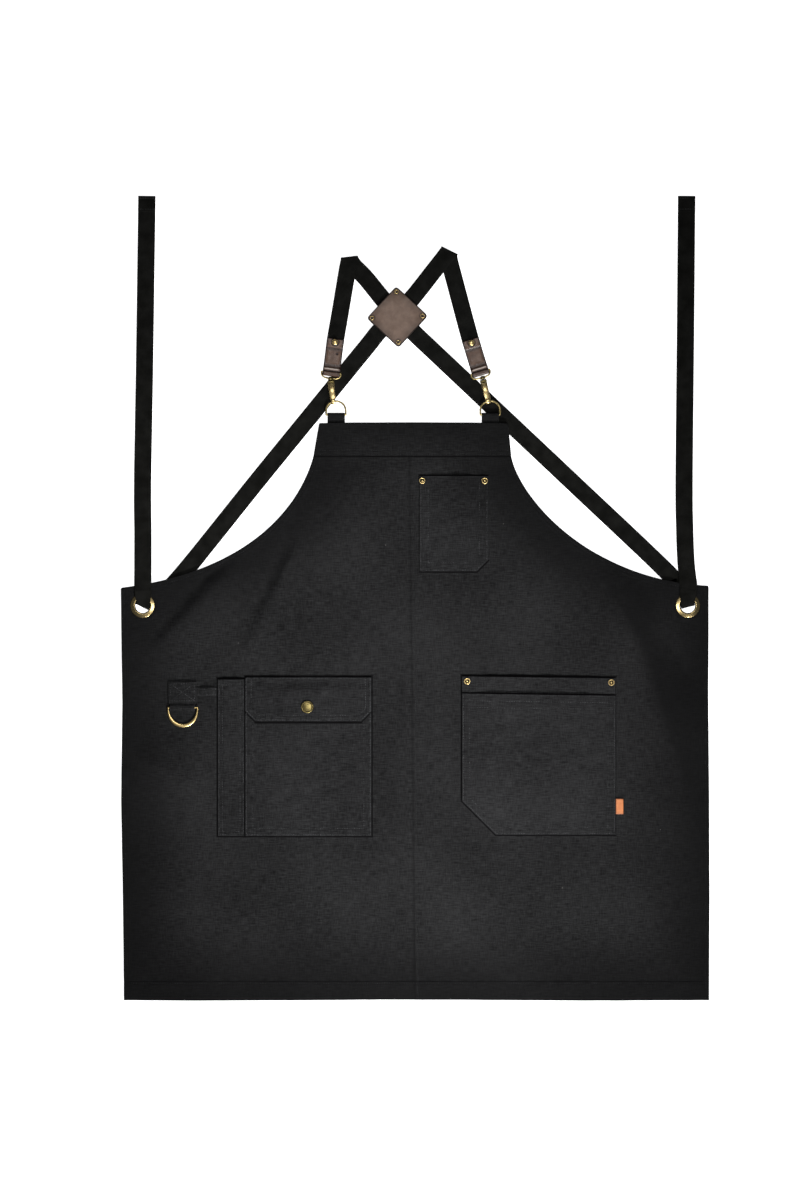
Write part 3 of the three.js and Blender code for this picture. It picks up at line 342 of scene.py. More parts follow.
def polyline_distance(x, y, points):
    """Distance from each place to the nearest stretch of a line through points."""
    best = np.full(np.shape(x), np.inf)
    for start, end in zip(points[:-1], points[1:]):
        best = np.minimum(best, near_line(x, y, start, end)[1])
    return best


def bezier(points, t):
    p = [np.asarray(q, float) for q in points]
    t = np.asarray(t, float)[..., None]
    return (1 - t) ** 3 * p[0] + 3 * (1 - t) ** 2 * t * p[1] + 3 * (1 - t) * t**2 * p[2] + t**3 * p[3]


def headings(points):
    """Unit directions along a line of points."""
    ahead = np.gradient(points, axis=0)
    return ahead / np.linalg.norm(ahead, axis=1, keepdims=True)


def run_lengths(points):
    """Distances along a line of points, from its start."""
    return np.concatenate([[0], np.cumsum(np.linalg.norm(np.diff(points, axis=0), axis=1))])


def resample(points, step):
    """Points at even steps along a line, with the direction at each."""
    points = np.asarray(points, float)
    lengths = np.hypot(*np.diff(points, axis=0).T)
    at = np.concatenate([[0], np.cumsum(lengths)])
    count = max(2, int(at[-1] / step))
    s = (np.arange(count) + 0.5) * at[-1] / count
    place = np.stack([np.interp(s, at, points[:, k]) for k in range(2)], -1)
    i = np.clip(np.searchsorted(at, s) - 1, 0, len(lengths) - 1)
    along = np.diff(points, axis=0)[i] / lengths[i][:, None]
    return place, along


# Mesh making

def outward(points, faces):
    """The faces, all turned over if they enclose a negative volume."""
    volume = 0.0
    for quad in faces:
        a = points[quad[:, 0]]
        for k in range(1, quad.shape[1] - 1):
            volume += np.einsum("ij,ij->", a, np.cross(points[quad[:, k]], points[quad[:, k + 1]]))
    return faces if volume > 0 else [quad[:, ::-1] for quad in faces]


def make_piece(name, points, faces, material, edge=None, uv=None):
    """A mesh object from points in millimetres and a list of face arrays."""
    mesh = bpy.data.meshes.new(name)
    rows = [row for quad in outward(points, faces) for row in quad.tolist()]
    mesh.from_pydata((points * MM).tolist(), [], rows)
    mesh.polygons.foreach_set("use_smooth", np.ones(len(rows), bool))
    if edge is not None:
        add_attribute(mesh, "edge", edge)
    if uv is not None:
        layer = mesh.uv_layers.new(name="along")
        corners = np.empty(len(mesh.loops), int)
        mesh.loops.foreach_get("vertex_index", corners)
        layer.data.foreach_set("uv", uv[corners].astype(np.float32).ravel())
    mesh.materials.append(material)
    mesh.update()
    piece = bpy.data.objects.new(name, mesh)
    bpy.context.scene.collection.objects.link(piece)
    return piece


def add_attribute(mesh, name, values):
    layer = mesh.attributes.new(name, "FLOAT", "POINT")
    layer.data.foreach_set("value", values.astype(np.float32).ravel())


def finish_piece(piece, slot, nodes=(), body="apron"):
    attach(piece, body)
    if nodes:
        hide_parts(*nodes)
    if nodes and slot == "canvas":
        add_depth(piece)
    return piece


def add_depth(piece):
    """Marks how far in from the apron's outline each point lies, for a painted light falloff: 0 at the
    edge, 1 where the cloth gets its full tone.
    """
    place = np.empty(len(piece.data.vertices) * 3)
    piece.data.vertices.foreach_get("co", place)
    x, y, _ = place.reshape(-1, 3).T / MM
    top = BIB_CORNERS["left"][1] + PAINTED_FALLOFF["top"]
    inside = np.minimum(side_distance(x, y), np.minimum(y + HALF_LENGTH, np.maximum(top - y, 0)))
    depth = smooth(inside / PAINTED_FALLOFF["reach"])
    if piece.name == "body_cloth":
        from_seam = x - seam_x(y)
        # Painted shade and highlight beside the seam's ridge, and painted shade past a fold's crest, change
        # the cloth's tone
        depth = depth - (marks(from_seam, SEAM_PAINTED_SHADING) + fold_shade(x, y))
    add_attribute(piece.data, "depth", depth)


def grid_faces(index):
    return np.stack([index[:-1, :-1], index[:-1, 1:], index[1:, 1:], index[1:, :-1]], -1).reshape(-1, 4)


def slab_faces(rows, columns, skip=None):
    """Faces of a closed sheet between two grids: the lower grid's points come first; skip opens cells."""
    index = np.arange(rows * columns).reshape(rows, columns)
    count = rows * columns
    kept = np.ones((rows - 1) * (columns - 1), bool) if skip is None else ~skip.ravel()
    sheet = grid_faces(index)[kept]
    sides = np.concatenate([sheet[:, [k, (k + 1) % 4]] for k in range(4)])
    key = sides[:, 0] * count + sides[:, 1]
    back = sides[:, 1] * count + sides[:, 0]
    border = sides[~np.isin(key, back)]
    wall = np.stack([border[:, 0], border[:, 1], border[:, 1] + count, border[:, 0] + count], -1)
    return [sheet[:, ::-1], sheet + count, wall]


def sheet_piece(name, x, y, low, top, material, edge, skip=None):
    """A closed cloth sheet over a grid of places."""
    rows, columns = x.shape
    lower = np.stack([x, y, low], -1).reshape(-1, 3)
    upper = np.stack([x, y, top], -1).reshape(-1, 3)
    both_edges = np.concatenate([edge.ravel(), edge.ravel()])
    faces = slab_faces(rows, columns, skip)
    piece = make_piece(name, np.concatenate([lower, upper]), faces, material, both_edges)
    if skip is not None:
        drop_loose(piece)
    return piece


@contextmanager
def mesh_edit(piece):
    work = bmesh.new()
    work.from_mesh(piece.data)
    yield work
    work.to_mesh(piece.data)
    work.free()


def drop_loose(piece):
    """Removes the points that no face uses."""
    with mesh_edit(piece) as work:
        bmesh.ops.delete(work, geom=[v for v in work.verts if not v.link_faces], context="VERTS")


def weld(piece):
    """Merges points that lie together, such as those on a turning axis."""
    with mesh_edit(piece) as work:
        bmesh.ops.remove_doubles(work, verts=work.verts, dist=WELD * MM)


def bevel(piece, width, segments=2):
    """Rounds off the sharp edges of a piece."""
    with mesh_edit(piece) as work:
        edges = [e for e in work.edges if e.is_manifold and e.calc_face_angle() > SHARP]
        size = {"offset": width * MM, "segments": segments, "profile": 0.5}
        bmesh.ops.bevel(work, geom=edges, affect="EDGES", clamp_overlap=True, **size)
        bmesh.ops.recalc_face_normals(work, faces=work.faces)
    piece.data.polygons.foreach_set("use_smooth", np.ones(len(piece.data.polygons), bool))


def rounded(low, thick, distance, radius):
    """Lower and upper heights of cloth whose edge is rounded over."""
    share = np.maximum(0.15, round_off(distance / radius))
    middle = low + thick / 2
    return middle - share * thick / 2, middle + share * thick / 2


def lathe_piece(name, profile, x, y, material, segments=40):
    """A solid turned about a vertical axis; profile points are (radius, height), closed or on the axis."""
    profile = np.asarray(profile, float)
    closed = bool(np.allclose(profile[0], profile[-1]))
    ring = profile[:-1] if closed else profile
    angle = 2 * np.pi * np.arange(segments) / segments
    points = np.stack([
        x + ring[:, :1] * np.cos(angle),
        y + ring[:, :1] * np.sin(angle),
        np.repeat(ring[:, 1:], segments, axis=1),
    ], -1).reshape(-1, 3)
    piece = make_piece(name, points, tube_faces(len(ring), segments, closed), material)
    weld(piece)
    return piece


def patina_and_shade_rings(piece, x, y, rings):
    """Gives the faces between pairs of radii a dark brass: painted shade in the hollows of rivets and
    grommets, patina in the snap's groove.
    """
    piece.data.materials.append(BRASS_PATINA_AND_SHADE)
    for face in piece.data.polygons:
        radius = math.hypot(face.center.x / MM - x, face.center.y / MM - y)
        if any(low < radius < high for low, high in rings):
            face.material_index = 1


def tube_faces(rings, sides, closed):
    index = np.arange(rings * sides).reshape(rings, sides)
    index = np.concatenate([index, index[:, :1]], 1)
    return [grid_faces(np.concatenate([index, index[:1]], 0) if closed else index)]


def wire_points(loop, half_height, sides):
    """A closed wire along a flat loop of (x, y, half width) points, oval in section."""
    loop = np.asarray(loop, float)
    ahead = np.roll(loop, -1, 0)[:, :2] - np.roll(loop, 1, 0)[:, :2]
    out = np.stack([ahead[:, 1], -ahead[:, 0]], -1)
    out /= np.linalg.norm(out, axis=1, keepdims=True)
    angle = 2 * np.pi * np.arange(sides) / sides
    side = loop[:, 2:3] * np.cos(angle)
    points = np.stack([
        loop[:, :1] + out[:, :1] * side,
        loop[:, 1:2] + out[:, 1:] * side,
        np.repeat(half_height * np.sin(angle)[None], len(loop), 0),
    ], -1)
    return points.reshape(-1, 3)


def turn_z(points, angle):
    c, s = math.cos(angle), math.sin(angle)
    return points @ np.array([[c, s, 0], [-s, c, 0], [0, 0, 1]])


def turn_x(points, angle):
    c, s = math.cos(angle), math.sin(angle)
    return points @ np.array([[1, 0, 0], [0, c, s], [0, -s, c]])


# Materials

class Field:
    """A value in a material's node tree: arithmetic on it adds nodes."""

    def __init__(self, shader, socket):
        self.shader, self.socket = shader, socket

    def __add__(self, other):
        return self.shader.math("ADD", self, other)

    def __sub__(self, other):
        return self.shader.math("SUBTRACT", self, other)

    def __rsub__(self, other):
        return self.shader.math("SUBTRACT", other, self)

    def __mul__(self, other):
        return self.shader.math("MULTIPLY", self, other)

    def __abs__(self):
        return self.shader.math("ABSOLUTE", self)


class Shader:
    """A material's node tree, with short calls to add and link nodes."""

    def __init__(self, name, **constants):
        self.material = bpy.data.materials.new(name)
        self.material.use_nodes = True
        self.tree = self.material.node_tree
        self.surface = self.tree.nodes["Principled BSDF"]
        for socket, value in constants.items():
            self.surface.inputs[socket.replace("_", " ")].default_value = value

    def feed(self, socket, value):
        if isinstance(value, Field):
            self.tree.links.new(value.socket, socket)
        else:
            socket.default_value = value

    def node(self, kind, settings=None, **inputs):
        """Adds a node; inputs go by name, or by number as i0, i1."""
        made = self.tree.nodes.new("ShaderNode" + kind)
        for key, value in (settings or {}).items():
            setattr(made, key, value)
        for key, value in inputs.items():
            self.feed(made.inputs[int(key[1:]) if key[1:].isdigit() else key.replace("_", " ")], value)
        return made

    def field(self, output, kind, settings=None, **inputs):
        return Field(self, self.node(kind, settings, **inputs).outputs[output])

    def math(self, operation, a, b=0.0):
        return self.field(0, "Math", {"operation": operation}, i0=a, i1=b)

    def colour(self, factor, dark, light):
        made = self.node("Mix", {"data_type": "RGBA"}, i0=factor)
        for slot, value in ((6, dark), (7, light)):
            self.feed(made.inputs[slot], value if isinstance(value, Field) else (*value, 1))
        return Field(self, made.outputs[2])

    def remap(self, value, from_low, from_high, to_low=0.0, to_high=1.0):
        ends = {"From_Min": from_low, "From_Max": from_high, "To_Min": to_low, "To_Max": to_high}
        return self.field(0, "MapRange", None, Value=value, **ends)

    def place(self, scale=(1, 1, 1), shift=(0, 0, 0)):
        """Object coordinates in metres, scaled and shifted."""
        source = self.field("Object", "TexCoord")
        return self.field(0, "Mapping", None, Vector=source, Scale=scale, Location=shift)

    def parts(self, vector):
        return [Field(self, socket) for socket in self.node("SeparateXYZ", None, Vector=vector).outputs]

    def noise(self, scale, detail=3.0, roughness=0.5, vector=None):
        settings = {"Scale": scale, "Detail": detail, "Roughness": roughness}
        return self.field(0, "TexNoise", None, Vector=vector or self.place(), **settings)

    def attribute(self, name):
        return self.field("Fac", "Attribute", {"attribute_name": name})

    def set(self, socket, value):
        self.feed(self.surface.inputs[socket], value)

    def set_bump(self, height, strength, distance):
        self.set("Normal", self.field(0, "Bump", None, Height=height, Strength=strength, Distance=distance))


def woven_height(shader, place):
    """Plain weave: warp and weft arches in a chequer."""
    count = math.pi / THREAD_PITCH
    warp, weft = (abs(shader.math("SINE", way * count)) for way in shader.parts(place)[:2])
    over = shader.field("Fac", "TexChecker", None, Vector=place, Scale=1 / THREAD_PITCH)
    return warp * over + weft * (1.0 - over)


def panel_shade_and_wear(shader):
    """Shares of the painted shade line just outside each pocket or flap, and of the worn rim just inside
    it.
    """
    x, y, _ = shader.parts(shader.place((1 / MM, 1 / MM, 1)))
    line, rim = 0.0, 0.0
    for outline in PANEL_OUTLINES:
        edges = panel_edges(x, y, outline["shape"], outline["cuts"], outline["tilt"])
        reach = edges[0][1]
        for _, distance in edges[1:]:
            reach = shader.math("MAXIMUM", reach, distance)
        for edge, distance in edges:
            wide, strength = EDGE_SHADE_LINES[outline["lines"].get(edge, "plain")]
            if strength:
                off = abs(distance - SHADE_LINE_MIDDLE * wide)
                outermost = shader.math("LESS_THAN", reach - distance, SHADE_LINE_OVERLAP)
                band = shader.remap(off, SHADE_LINE_MIDDLE * wide, wide, strength, 0.0)
                line = shader.math("MAXIMUM", line, band * outermost)
        if outline["rim"]:
            off = abs(reach - PANEL_RIM["at"])
            band = shader.remap(off, PANEL_RIM["full"], PANEL_RIM["gone"], outline["rim"], 0.0)
            rim = shader.math("MAXIMUM", rim, band)
    return line, rim


def panel_edges(x, y, shape, cuts, tilt):
    """Distances out past each edge of a panel, negative inside."""
    middle, half = (shape["left"] + shape["right"]) / 2, (shape["right"] - shape["left"]) / 2
    left, right = shape["left"] - x, x - shape["right"]
    above, below = y - shape["top"] - (x - middle) * (tilt / half), shape["bottom"] - y
    edges = [("left", left), ("right", right), ("top", above), ("bottom", below)]
    for side, cut in zip((left, right), cuts):
        if cut:
            edges.append(("cut", (side + below + cut) * math.sqrt(0.5)))
    return edges


def canvas_material(name, shift, dark, light):
    """Black cotton canvas: plain weave, uneven yarns both ways, a painted light falloff towards the apron's
    outline, worn edges, painted shade lines by the pockets and a little lint.
    """
    shader = Shader(name, Roughness=0.9, Specular_IOR_Level=0.03)
    spot = shader.place(shift=shift)
    weft_slub = shader.noise(1.0, 1.0, vector=shader.place((80, 820, 1), shift))
    warp_slub = shader.noise(1.0, 1.0, vector=shader.place((820, 90, 1), shift))
    slubs = weft_slub * 0.6 + warp_slub * 0.4
    cloudy = shader.noise(1.0, 0.0, vector=shader.place((9, 9, 1), shift))
    tone = slubs * 0.65 + cloudy * 0.15 + shader.noise(1100.0, 1.0, vector=spot) * 0.2
    # Painted light falloff: the cloth is darker towards the apron's outline, as if less light reached it
    # there
    painted_falloff_share = shader.remap(shader.attribute("depth"), 0.0, 1.0, PAINTED_FALLOFF["border"], 1.0)
    cloth = shader.colour(shader.remap(tone, 0.38, 0.62) * painted_falloff_share, dark, light)
    worn = shader.attribute("edge") * shader.noise(900.0, 2.0)
    cloth = shader.colour(shader.remap(worn, 0.35, 0.75, 0.0, 0.25), cloth, (0.06, 0.061, 0.063))
    line, rim = panel_shade_and_wear(shader)
    rim = rim * shader.remap(shader.noise(420.0, 2.0), 0.35, 0.7, 0.0, 0.5)
    cloth = shader.colour(rim, cloth, (0.05, 0.051, 0.053))
    # Painted shade: a near-black line just outside each pocket and flap edge, where the crevice would be
    # dark
    cloth = shader.colour(line, cloth, (0.0018, 0.0018, 0.0019))
    lint = shader.node("TexVoronoi", None, Vector=spot, Scale=75.0)
    pick, near = Field(shader, lint.outputs["Color"]), Field(shader, lint.outputs["Distance"])
    chosen = shader.remap(shader.field(0, "SeparateColor", None, Color=pick), 0.962, 0.966)
    speck = shader.remap(near, 0.05, 0.02) * chosen
    shader.set("Base Color", shader.colour(speck * 0.35, cloth, (0.3, 0.29, 0.27)))
    shader.set_bump(woven_height(shader, spot) * 0.6 + slubs * 1.4, 0.55, 0.00025)
    return shader.material


def webbing_material():
    """Ribbed cotton webbing: small ribs across the strap, in two alternating rows."""
    shader = Shader("webbing", Roughness=0.9, Specular_IOR_Level=0.04)
    across, along, _ = shader.parts(shader.field(0, "UVMap", {"uv_map": "along"}))
    zigzag = shader.math("SINE", across * (math.pi / 0.0014))
    ribs = shader.math("SINE", along * (2 * math.pi / 0.0016) + zigzag * 1.2)
    tone = ribs * 0.12 + shader.noise(60.0, 4.0)
    dark, light = (0.0035, 0.0035, 0.003), (0.0095, 0.0094, 0.0085)
    shader.set("Base Color", shader.colour(shader.remap(tone, 0.3, 0.75), dark, light))
    shader.set_bump(ribs + shader.noise(1600.0, 3.0), 0.6, 0.0002)
    return shader.material


def leather_material(name, dark, light, rim, roughness, gloss_level=0.35):
    """Waxed leather: fine grain, cloudy colour, a darker edge colour where the edge attribute is high
    (burnished edges, and on the tabs also painted shade), and a painted highlight on crests where it is
    negative.
    """
    shader = Shader(name, Specular_IOR_Level=gloss_level)
    pores = {"Vector": shader.place(), "Scale": 1500.0}
    grain = shader.field("Distance", "TexVoronoi", {"feature": "SMOOTH_F1"}, **pores)
    cloud = shader.noise(110.0, 5.0, 0.6)
    edge = shader.attribute("edge")
    hide = shader.colour(shader.remap(cloud, 0.32, 0.68), dark, light)
    # A negative edge value paints a pale highlight on the leather's crests
    hide = shader.colour(edge * -1.0, hide, LEATHER_PAINTED_HIGHLIGHT)
    shader.set("Base Color", shader.colour(edge, hide, rim))
    gloss = shader.noise(260.0, 4.0)
    shader.set("Roughness", shader.remap(gloss, 0.3, 0.7, roughness - 0.07, roughness + 0.08))
    shader.set_bump(grain + cloud * 1.5, 0.25, 0.0002)
    return shader.material


def brass_material(name, bright, tarnish, amount, roughness):
    """Brass with a brown film left in cloudy patches."""
    shader = Shader(name, Metallic=1.0)
    film = shader.remap(shader.noise(240.0, 4.0, 0.6), 0.62 - amount * 0.5, 0.78 - amount * 0.3)
    shader.set("Base Color", shader.colour(film, bright, tarnish))
    shader.set("Roughness", shader.remap(film, 0.0, 1.0, roughness, roughness + 0.18))
    shader.set_bump(shader.noise(1900.0, 2.0), 0.03, 0.0002)
    return shader.material


def thread_material(name, dark, light):
    shader = Shader(name, Roughness=0.8, Specular_IOR_Level=0.1)
    shader.set("Base Color", shader.colour(shader.remap(shader.noise(140.0, 2.0), 0.4, 0.65), dark, light))
    return shader.material


CANVAS_BODY = canvas_material("canvas_body", (0, 0, 0), (0.0047, 0.0047, 0.0048), (0.0187, 0.0188, 0.0192))
CANVAS_PANELS = canvas_material(
    "canvas_panels", (0.31, 0.17, 0), (0.0051, 0.0051, 0.0052), (0.0208, 0.0209, 0.0215))
WEBBING_BLACK = webbing_material()
LEATHER_BROWN = leather_material(
    "leather_brown", (0.112, 0.0725, 0.0535), (0.154, 0.105, 0.08), (0.011, 0.006, 0.004), 0.42, 0.22)
LEATHER_TAB = leather_material(
    "leather_tab", (0.055, 0.0285, 0.0185), (0.096, 0.056, 0.038), (0.013, 0.0052, 0.0034), 0.32, 0.26)
LEATHER_TAN = leather_material(
    "leather_tan", (0.37, 0.118, 0.037), (0.52, 0.188, 0.066), (0.22, 0.07, 0.025), 0.5)
BRASS_BRIGHT = brass_material("brass_bright", (0.46, 0.34, 0.15), (0.4, 0.27, 0.1), 0.05, 0.32)
BRASS_AMBER = brass_material("brass_amber", (0.37, 0.28, 0.13), (0.24, 0.17, 0.07), 0.06, 0.24)
BRASS_ANTIQUE = brass_material("brass_antique", (0.3, 0.235, 0.1), (0.15, 0.115, 0.05), 0.3, 0.34)
BRASS_OLIVE = brass_material("brass_olive", (0.12, 0.095, 0.036), (0.06, 0.047, 0.02), 0.3, 0.32)
# Dark brass: painted shade in the hollows of rivets and grommets, and patina in the snap's groove
BRASS_PATINA_AND_SHADE = brass_material("brass_dark", (0.026, 0.02, 0.01), (0.012, 0.009, 0.005), 0.5, 0.55)
THREAD_PANELS = thread_material("thread_panels", (0.0085, 0.0085, 0.0088), (0.047, 0.047, 0.049))
THREAD_BODY = thread_material("thread_body", (0.003, 0.003, 0.003), (0.016, 0.016, 0.017))


# Stitches, gathered by seam and made as one mesh for each piece of cloth

def stitch_template():
    """One stitch along x: a flattened capsule whose tips dip into the cloth."""
    sides, radius = STITCH["sides"], STITCH["radius"]
    half = STITCH["long"] / 2
    angle = 2 * np.pi * np.arange(sides) / sides
    points = [
        (half * at, radius * size * STITCH["flat"] * math.cos(a), radius * (size * math.sin(a) + dip))
        for at, size, dip in STITCH_RINGS
        for a in angle
    ]
    faces = tube_faces(len(STITCH_RINGS), sides, False)
    last = (len(STITCH_RINGS) - 1) * sides
    caps = np.array([[0, 1, 2, 3], [0, 3, 4, 5]])
    return np.array(points), np.concatenate([faces[0], caps[:, ::-1], last + caps])


STITCH_POINTS, STITCH_FACES = stitch_template()


def stitches_piece(name, rows, seed, thread=THREAD_PANELS):
    """Stitches along each (path, height function) row, with a little unevenness."""
    rng = np.random.default_rng(seed)
    points, faces = [], []
    count = 0
    for path, height in rows:
        place, along = resample(path, STITCH["pitch"])
        across = np.stack([-along[:, 1], along[:, 0]], -1)
        place = place + across * rng.normal(0, STITCH["stray"], (len(place), 1))
        reach = along * STITCH["long"] / 2
        z = height(place[:, 0], place[:, 1])
        ahead = height(place[:, 0] + reach[:, 0], place[:, 1] + reach[:, 1])
        behind = height(place[:, 0] - reach[:, 0], place[:, 1] - reach[:, 1])
        slope = (ahead - behind) / STITCH["long"]
        local = STITCH_POINTS[None] * rng.uniform(0.9, 1.08, (len(place), 1, 1))
        plan = place[:, None] + along[:, None] * local[..., :1] + across[:, None] * local[..., 1:2]
        rise = z[:, None] + slope[:, None] * local[..., 0] + local[..., 2]
        points.append(np.concatenate([plan, rise[..., None]], -1).reshape(-1, 3))
        starts = count + np.arange(len(place))[:, None, None] * len(STITCH_POINTS)
        faces.append((STITCH_FACES[None] + starts).reshape(-1, 4))
        count += len(place) * len(STITCH_POINTS)
    piece = make_piece(name, np.concatenate(points), [np.concatenate(faces)], thread)
    return finish_piece(piece, "canvas")


# Strips bent in one vertical plane

def rounded_corners(points, rounds=3):
    """Cuts the corners of an open line, so that it runs smoothly inside its corner points."""
    points = np.asarray(points, float)
    for _ in range(rounds):
        before, after = points[:-1], points[1:]
        inner = np.stack([mix(before, after, 0.25), mix(before, after, 0.75)], 1)
        points = np.concatenate([points[:1], inner.reshape(-1, points.shape[1]), points[-1:]])
    return points


def even_steps(points, step):
    """The same line with points at even steps."""
    points = np.asarray(points, float)
    at = run_lengths(points[:, :2])
    s = np.linspace(0, at[-1], max(2, int(at[-1] / step)))
    return np.stack([np.interp(s, at, points[:, k]) for k in range(points.shape[1])], -1), s


def cross_steps(count):
    """Places across a strip from -1 to 1, close together at the edges."""
    inner = np.linspace(-0.86, 0.86, count)
    return np.concatenate([[-1, -0.985, -0.95], inner, [0.95, 0.985, 1]])


def edge_share(across, half):
    """Share of the full thickness across a strip, rounded off at both edges."""
    return np.maximum(0.2, round_off((1 - np.abs(across)) * half / 0.8))


def bent_strip(name, origin, direction, profile, thick, material,
               step=0.7, columns=7, dents=None, leather_marks_and_painted_light=None):
    """A strip of cloth or leather along a profile of (distance, height, half width) corner points."""
    line, s = even_steps(rounded_corners(profile), step)
    ahead = headings(line[:, :2])
    along = unit(direction)
    side = np.array([-along[1], along[0]])
    across = cross_steps(columns)
    half = line[:, 2:3] * np.ones((1, len(across)))
    share = edge_share(across[None], half)
    ends = np.minimum(s, s[-1] - s)[:, None]
    share = share * np.maximum(0.3, round_off(ends / 0.8))
    offset = across[None] * half
    swell = np.zeros(offset.shape) if dents is None else dents(s[:, None], offset)

    def surface(sign):
        reach = sign * share * thick / 2 + (swell if sign > 0 else 0)
        run = line[:, :1] - ahead[:, 1:2] * reach
        z = line[:, 1:2] + ahead[:, :1] * reach
        x = origin[0] + along[0] * run + side[0] * offset
        y = origin[1] + along[1] * run + side[1] * offset
        return np.stack([x, y, z], -1).reshape(-1, 3)

    edge = np.maximum(1 - smooth((1 - np.abs(across[None])) * half / 2), 1 - smooth(ends / 2))
    # Sunk dents get the dark edge colour as painted shade; then a piece's own marks are added, on the
    # leather tabs partly painted shade and painted highlight
    edge = np.maximum(edge, np.clip(-swell / 0.7, 0, 1))
    edge = edge if leather_marks_and_painted_light is None else edge + leather_marks_and_painted_light(s[:, None], offset)
    points = np.concatenate([surface(-1), surface(1)])
    piece = make_piece(name, points, slab_faces(len(line), len(across)), material, np.tile(edge.ravel(), 2))
    return piece, float(s[-1])


# Cloth of the body

def underlay_rise(x, y):
    rise = np.zeros(np.shape(x))
    for under in UNDERLAYS:
        _, distance = near_line(x, y, under["from"], under["to"])
        rise = np.maximum(rise, under["clear"] * (1 - smooth((distance - under["reach"]) / under["fade"])))
    return rise


def beside_fold(x, y, fold):
    """The share of the way along a fold, the distance from it, and whether that is on its left."""
    (ax, ay), (bx, by) = fold["from"], fold["to"]
    on_left = (bx - ax) * (y - ay) > (by - ay) * (x - ax)
    return *near_line(x, y, fold["from"], fold["to"]), on_left


def fold_rise(x, y):
    rise = np.zeros(np.shape(x))
    for fold in FOLDS:
        t, distance, on_left = beside_fold(x, y, fold)
        width = np.where(on_left, *fold["widths"])
        soft = (1 + np.cos(np.pi * np.clip(distance / width, 0, 1))) / 2
        crest = np.exp(-distance / (FOLD_CREST * width))
        across = mix(soft, crest, fold["crisp"])
        rise = rise + fold["height"] * across * smooth(t / FOLD_FADE) * smooth((1 - t) / FOLD_FADE)
    return rise


def fold_shade(x, y):
    """How far the cloth lies in the shade of a fold, just past its crest."""
    shade = np.zeros(np.shape(x))
    for fold in FOLDS:
        if "shade" in fold:
            t, distance, on_left = beside_fold(x, y, fold)
            past = np.where(on_left, distance, -distance) - FOLD_SHADE["shift"]
            across = bump(past, np.where(past < 0, FOLD_SHADE["near"], FOLD_SHADE["far"]))
            starts, stops = smooth((t - FOLD_SHADE["from"]) / 0.2), smooth((FOLD_SHADE["to"] - t) / 0.3)
            shade = shade + fold["shade"] * across * starts * stops
    return shade


def away_from(x, y, area, fade):
    """0 inside a rectangle, rising to 1 at a distance from it."""
    dx = np.maximum(np.maximum(area["left"] - x, x - area["right"]), 0)
    dy = np.maximum(np.maximum(area["bottom"] - y, y - area["top"]), 0)
    return smooth((np.hypot(dx, dy) - 3) / fade)


def open_cloth(x, y):
    """1 where the body lies free, 0 under pockets, tabs, the band and the grommets."""
    free = np.ones(np.shape(x))
    for area, fade in COVERED:
        free = free * away_from(x, y, area, fade)
    for sign in (-1, 1):
        distance = np.hypot(x - sign * GROMMET["x"], y - GROMMET["y"])
        free = free * smooth((distance - GROMMET["flat"]) / GROMMET["fade"])
    return free


def cloth_low(x, y):
    ripples = 0.5 + 0.5 * np.clip(broad_waves(x, y) / 2.2, -1, 1)
    crumple = CRUMPLE * (1 + np.clip(fine_waves(x, y), -1, 1.5))
    lifted = np.maximum(underlay_rise(x, y), fold_rise(x, y))
    return lifted + (RIPPLE * ripples + crumple) * open_cloth(x, y)


def side_line(side):
    """One side of the body's outline, from the hem to the bib's corner."""
    sides = list(zip(SIDE_EDGES[side], SIDE_LEVELS))
    armhole = bezier(ARMHOLES[side], np.linspace(0, 1, 40))
    return [*sides, *map(tuple, armhole), BIB_CORNERS[side]]


OUTLINES = {side: side_line(side) for side in ("left", "right")}


def hem_y(x):
    turn = 2 * np.pi * (x - HEM["low_at"]) / HEM["period"]
    return -HALF_LENGTH + HEM["wave"] * (1 - np.cos(turn)) / 2


def seam_x(y):
    return np.interp(y, SEAM["levels"], SEAM["x"])


def side_distance(x, y):
    return np.minimum(*(polyline_distance(x, y, OUTLINES[side]) for side in ("left", "right")))


def body_thick(x, y):
    """Canvas thickness with the hems, the seam and the hollows that stitching pulls in."""
    from_side = side_distance(x, y)
    below_band = 1 - smooth((y - BAND_BOTTOM + 6) / 4)
    pucker = 1 + 0.5 * np.sin(2 * np.pi * y / 11) * np.sin(2 * np.pi * x / 13)
    hem = (HEM["thick"] - CANVAS) * (1 - smooth((y - HEM["top"] + 0.8) / 1.6))
    narrow = NARROW_HEM["extra"] * (1 - smooth((from_side - NARROW_HEM["width"]) / 1.5)) * below_band
    rows = ROW_DEPTH["side"] * bump(from_side - NARROW_HEM["row"], ROW_WIDE) * below_band * pucker
    rows = rows + ROW_DEPTH["hem"] * bump(y - HEM["top"] + HEM["row"], 1.0) * pucker
    from_seam = x - seam_x(y)
    ridge = SEAM["ridge"] * bump(from_seam, SEAM["wide"])
    seam = (ridge - 0.2 * bump(from_seam - SEAM["row"], 0.8)) * below_band
    return CANVAS + np.maximum(hem, narrow) - rows + seam


def body_top(x, y):
    return cloth_low(x, y) + body_thick(x, y)


def body_columns(left, right, seam):
    """Places across the cloth: close at both edges and at the seam."""
    edge = EDGE_STEPS[-1]
    inner = SEAM_STEPS[-1]
    share = np.arange(1, HALF_COLUMNS) / HALF_COLUMNS
    parts = [
        left + np.array(EDGE_STEPS),
        mix(left + edge, seam - inner, share),
        seam - np.array(SEAM_STEPS[::-1]),
        [seam],
        seam + np.array(SEAM_STEPS),
        mix(seam + inner, right - edge, share),
        right - np.array(EDGE_STEPS[::-1]),
    ]
    return np.concatenate(parts)


def corner_inset(below_top, radius):
    """How far a rounded corner draws a side in, at a distance below the top edge."""
    short = np.clip(radius - below_top, 0, radius)
    return radius - math.sqrt(radius**2 - short**2)


